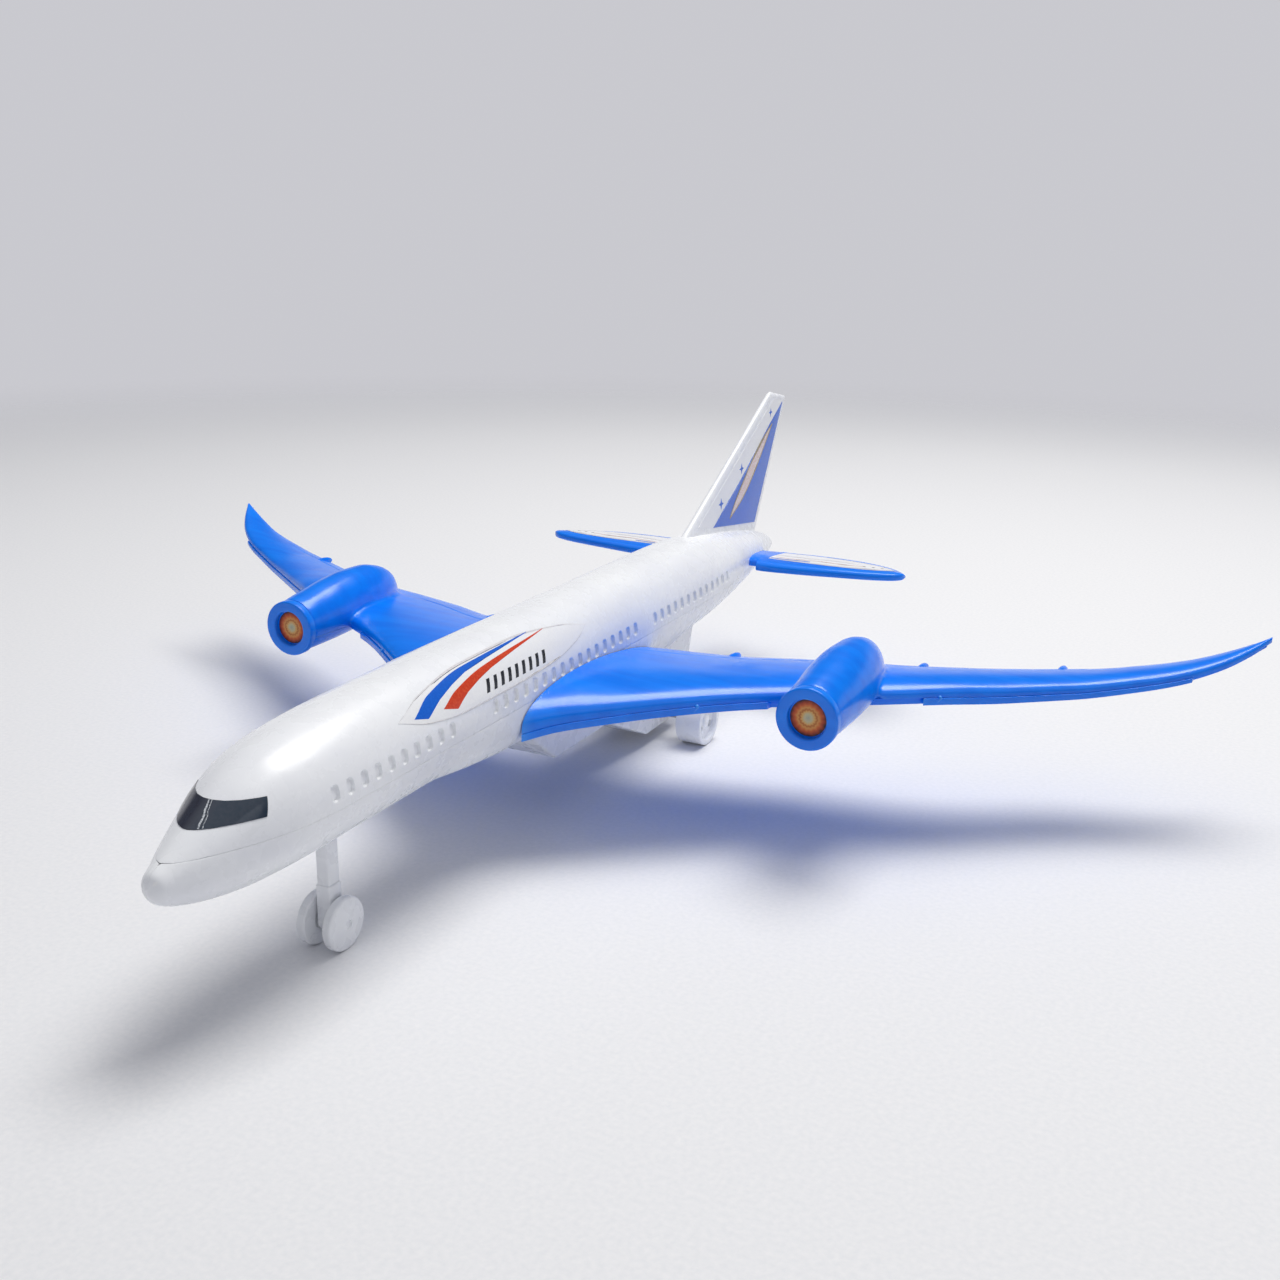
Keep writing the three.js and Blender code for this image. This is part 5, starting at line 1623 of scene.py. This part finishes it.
@dataclass
class MainGear:
    """The driven wheels on their steel axle."""

    y: float = 54.4
    radius: float = 9.18
    outer: float = 29.3
    width: float = 10.0
    axle: float = 1.0
    holes: int = 3
    hole_radius: float = 1.5
    hole_circle: float = 4.7
    facets: int = 24

    @property
    def centre_z(self) -> float:
        """The axle's height, which is that of the CAD wheel's flat foot."""
        return self.radius * math.cos(math.pi / self.facets)

    def wheel(self, side: Side) -> bpy.types.Object:
        """Builds a wheel with a rim, a web with round holes and a hub.

        Args:
            side: which end of the axle.

        Returns:
            The piece.
        """
        face, inner, edge = self.outer, self.outer - self.width, 0.6
        far = arc((self.radius - edge, face - edge), edge, 90, 0, 6)
        near = arc((self.radius - edge, inner + edge), edge, 0, -90, 6)
        rim = arc((7.25, face - 0.25), 0.25, 180, 90, 4)
        profile = [(0, face - 0.7), (1.7, face - 0.75), (2.3, face - 1.0), (2.6, face - 1.6), (6.8, face - 1.6), *rim,
                   *far, *near, (7.4, inner), (7.2, face - 3.2), (2.8, face - 3.2), (2.8, inner),
                   (self.axle + 0.15, inner), (self.axle + 0.15, face - 3.4), (0, face - 3.4)]
        flipped = [(r, side.value * along) for r, along in profile]
        made = Shape().turned(flipped, (0, self.y, self.centre_z), "X", 96).piece("main_tyre_" + side.word)
        for i in range(self.holes):
            turn = math.pi / 2 + i * 2 * math.pi / self.holes
            place = (side.value * face, self.y + self.hole_circle * math.cos(turn),
                     self.centre_z + self.hole_circle * math.sin(turn))
            made = combine(made, bar(place, "X", (-5, 5), self.hole_radius, sides=32), Cut.REMOVE)
        return made

    def build(self) -> None:
        """Builds and dresses the driven wheels."""
        reach = self.outer - 3.8
        rod = bar((0, self.y, self.centre_z), "X", (-reach, reach), self.axle, 0.2)
        rod.name = "main_axle_rod"
        finish_piece(rod, [STEEL], Body.MAIN_WHEELS, "steel", "main_axle")
        for side in Side:
            finish_piece(self.wheel(side), [WHITE], Body.MAIN_WHEELS, "white_plastic", "main_wheel_" + side.word)


@dataclass
class Belly:
    """The housing under the wings, which holds the friction motor, and the case screws."""

    gear: MainGear
    fuselage: Fuselage
    half: float = 10.8
    wall: float = 1.4
    # y and z of the side view's corners
    outline: tuple = ((-58, 42), (-29.5, 20), (7.4, 20), (34, 8), (39, 5.5), (66.6, 5.5), (70, 8), (80, 42))
    inner: tuple = ((-52, 40), (-28.6, 21.6), (8, 21.6), (34.6, 9.6), (39.6, 6.9), (66, 6.9), (68.8, 9), (78, 40))
    screw_y: tuple[float, float] = (-21.0, 62.9)
    well_top: float = 29.0
    head: float = 2.2
    head_height: float = 1.6

    def prism(self, outline: Sequence[tuple], half: float, radius: float, name: str) -> bpy.types.Object:
        """Makes a side outline as wide as the housing, with rounded edges.

        Args:
            outline: corners in y and z.
            half: half the width.
            radius: the radius of the edges.
            name: the object's name.

        Returns:
            The prism.
        """
        work = bmesh.new()
        sides = [[work.verts.new(Vector((x, y, z)) * MM) for y, z in outline] for x in (-half, half)]
        work.faces.new(sides[0][::-1])
        work.faces.new(sides[1])
        for i in range(len(outline)):
            j = (i + 1) % len(outline)
            work.faces.new((sides[0][i], sides[0][j], sides[1][j], sides[1][i]))
        bmesh.ops.recalc_face_normals(work, faces=work.faces)
        if radius:
            bmesh.ops.bevel(work, geom=work.edges[:], offset=radius * MM, segments=4, profile=0.5, affect="EDGES")
        mesh = bpy.data.meshes.new(name)
        work.to_mesh(mesh)
        work.free()
        made = bpy.data.objects.new(name, mesh)
        bpy.context.scene.collection.objects.link(made)
        shade(made, 40)
        return made

    def housing(self) -> bpy.types.Object:
        """Builds the housing, hollow, with screw wells, axle holes and the gear's slot.

        Returns:
            The piece.
        """
        made = self.prism(self.outline, self.half, 0.9, "belly_shell")
        made = combine(made, self.prism(self.inner, self.half - self.wall, 0, "tool"), Cut.REMOVE)
        for y, floor in zip(self.screw_y, (20.0, 5.5)):
            made = combine(made, bar((0, y, 0), "Z", (floor + 0.4, 33), 3.6), Cut.JOIN)
            made = combine(made, bar((0, y, 0), "Z", (0, self.well_top), 2.7), Cut.REMOVE)
            made = combine(made, bar((0, y, 0), "Z", (20, 42), 1.6), Cut.REMOVE)
        centre = (0, self.gear.y, self.gear.centre_z)
        made = combine(made, bar(centre, "X", (-20, 20), self.gear.axle + 0.35), Cut.REMOVE)
        slot = block((-7.2, self.gear.y - 6, -1), (-3.0, self.gear.y + 6, 9), 0.4)
        return combine(made, slot, Cut.REMOVE)

    def screw(self, y: float, seat: float, name: str) -> bpy.types.Object:
        """Builds a pan-head tapping screw standing on its head.

        Args:
            y: where along the airliner.
            seat: the height of the head's face.
            name: the piece's name.

        Returns:
            The piece.
        """
        pan = arc((self.head - 0.7, 0.7), 0.7, 270, 360, 5)
        profile = [(0, 0), *pan, (self.head, self.head_height), (1.2, self.head_height)]
        pitch = 0.9
        for i in range(8):
            z = self.head_height + 0.5 + i * pitch
            profile += [(1.0, z), (1.2, z + pitch / 2)]
        profile += [(1.0, 10.0), (0.05, 11.0)]
        made = Shape().turned([(r, z) for r, z in profile], (0, y, seat), "Z", 40).piece(name)
        for wide, deep in ((1.2, 0.26), (0.26, 1.2)):
            tool = block((-wide, y - deep, seat - 1), (wide, y + deep, seat + 0.8), 0.05)
            made = combine(made, tool, Cut.REMOVE)
        return made

    def build(self) -> None:
        """Builds and dresses the housing and the screws."""
        finish_piece(self.housing(), [WHITE], Body.AIRFRAME, "white_plastic", "belly_housing")
        for y, place in zip(self.fuselage.screw_y, ("front", "rear")):
            section = self.fuselage.at(np.array([y]))[0]
            seat = section[0] - section[1] + 2.6 - 0.3 - self.head_height
            made = self.screw(y, seat, "case_screw_" + place)
            finish_piece(made, [SCREW_STEEL], Body.AIRFRAME, "steel", "shell_screw_" + place)
        for y, place in zip(self.screw_y, ("front", "rear")):
            made = self.screw(y, self.well_top - 0.3 - self.head_height, "belly_screw_" + place)
            finish_piece(made, [SCREW_STEEL], Body.AIRFRAME, "steel", "housing_screw_" + place)


@dataclass
class Motor:
    """The friction motor's CAD pieces, which keep their shape and get their finish."""

    dress: dict = field(default_factory=lambda: {
        "motor_plate_left": (ACETAL, "motor_plastic"),
        "motor_plate_right": (ACETAL, "motor_plastic"),
        "axle_gear": (ACETAL, "motor_plastic"),
        "idler_gear": (ACETAL, "motor_plastic"),
        "motor_pillar_1": (STEEL, "steel"),
        "motor_pillar_2": (STEEL, "steel"),
        "idler_shaft": (STEEL, "steel"),
        "flywheel_shaft": (STEEL, "steel"),
        "flywheel_pinion": (BRASS, "brass"),
        "flywheel": (FLYWHEEL_STEEL, "steel"),
    })

    def build(self) -> None:
        """Dresses the motor's pieces."""
        for node, (one, slot) in self.dress.items():
            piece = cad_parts[node]
            piece.data.materials.clear()
            piece.data.materials.append(one.material())
            LOG.info("%s keeps its CAD shape, in %s", node, one.name)


# ---------------------------------------------------------------- studio


@dataclass
class Studio:
    """The camera, the paper floor and the soft lights, in metres and degrees."""

    camera_place: tuple[float, float, float] = (0.2284, -0.4093, 0.1946)
    turn: float = 26.26
    down: float = 16.97
    roll: float = 0.85
    lens: float = 39.92
    floor_radius: float = 3.0
    wall_colour: str = "#d3d3d9"
    room_colour: str = "#5c5e66"
    ceiling_colour: str = "#d4d5da"
    wall_light: float = 0.9

    def camera(self) -> None:
        """Sets up the camera."""
        data = bpy.data.cameras.new("studio_camera")
        data.lens, data.sensor_width, data.clip_start, data.clip_end = self.lens, 36.0, 0.01, 50.0
        made = bpy.data.objects.new("studio_camera", data)
        bpy.context.scene.collection.objects.link(made)
        a, e, r = (math.radians(v) for v in (self.turn, self.down, self.roll))
        forward = Vector((-math.sin(a) * math.cos(e), math.cos(a) * math.cos(e), -math.sin(e)))
        right = Vector((math.cos(a), math.sin(a), 0))
        up = right.cross(forward)
        axes = (right * math.cos(r) + up * math.sin(r), -right * math.sin(r) + up * math.cos(r), -forward)
        made.matrix_world = Matrix.Translation(self.camera_place) @ Matrix(axes).transposed().to_4x4()
        bpy.context.scene.camera = made

    def floor(self) -> None:
        """Rolls out the floor."""
        work = bmesh.new()
        bmesh.ops.create_circle(work, cap_ends=True, cap_tris=True, segments=96, radius=self.floor_radius)
        mesh = bpy.data.meshes.new("studio_floor")
        work.to_mesh(mesh)
        work.free()
        made = bpy.data.objects.new("studio_floor", mesh)
        bpy.context.scene.collection.objects.link(made)
        made.data.materials.append(PAPER.material())

    def wall(self) -> None:
        """Surrounds the studio with a pale wall, a dimmer room above it and a pale ceiling."""
        world = bpy.data.worlds.new("studio_wall")
        world.use_nodes = True
        tree = world.node_tree
        direction = add_node(tree, "ShaderNodeTexCoord").outputs["Generated"]
        height = add_node(tree, "ShaderNodeSeparateXYZ", {"Vector": direction}).outputs["Z"]
        shades = add_node(tree, "ShaderNodeValToRGB", {"Fac": height},
                          [(0.14, self.wall_colour), (0.3, self.room_colour),
                           (0.6, self.room_colour), (0.85, self.ceiling_colour)])
        glow = tree.nodes["Background"].inputs
        tree.links.new(shades.outputs["Color"], glow["Color"])
        glow["Strength"].default_value = self.wall_light
        bpy.context.scene.world = world

    def light(self, name: str, place: tuple, size: tuple[float, float], watts: float, colour: str) -> None:
        """Hangs a soft box that faces the airliner.

        Args:
            name: the light's name.
            place: where it hangs.
            size: its width and height.
            watts: its power.
            colour: its colour.
        """
        data = bpy.data.lights.new(name, "AREA")
        data.shape, data.size, data.size_y, data.energy = "RECTANGLE", size[0], size[1], watts
        data.color = linear(colour)[:3]
        made = bpy.data.objects.new(name, data)
        bpy.context.scene.collection.objects.link(made)
        made.location = place
        aim = Vector((0, 0, 0.04)) - Vector(place)
        made.rotation_euler = aim.to_track_quat("-Z", "Y").to_euler()

    def build(self) -> None:
        """Sets up the whole studio."""
        self.camera()
        self.floor()
        self.wall()
        self.light("overhead_box", (0.12, 0.4, 1.2), (0.7, 0.7), 12.6, "#fffdf8")
        self.light("front_fill", (0.9, -0.5, 0.8), (0.5, 0.5), 0.5, "#f4f7ff")
        bpy.context.scene.view_settings.view_transform = "Standard"
        LOG.info("studio ready")


def main() -> None:
    """Builds the studio and every sub-assembly of the airliner."""
    logging.basicConfig(level=logging.INFO, format="%(name)s: %(message)s")
    Studio().build()
    fuselage = Fuselage()
    gear = MainGear()
    fuselage.build()
    for side in Side:
        Wing(side).build()
        Tailplane(side, fuselage).build()
    Fin(fuselage).build()
    NoseGear().build()
    gear.build()
    Belly(gear, fuselage).build()
    Motor().build()


if __name__ == "__main__":
    main()
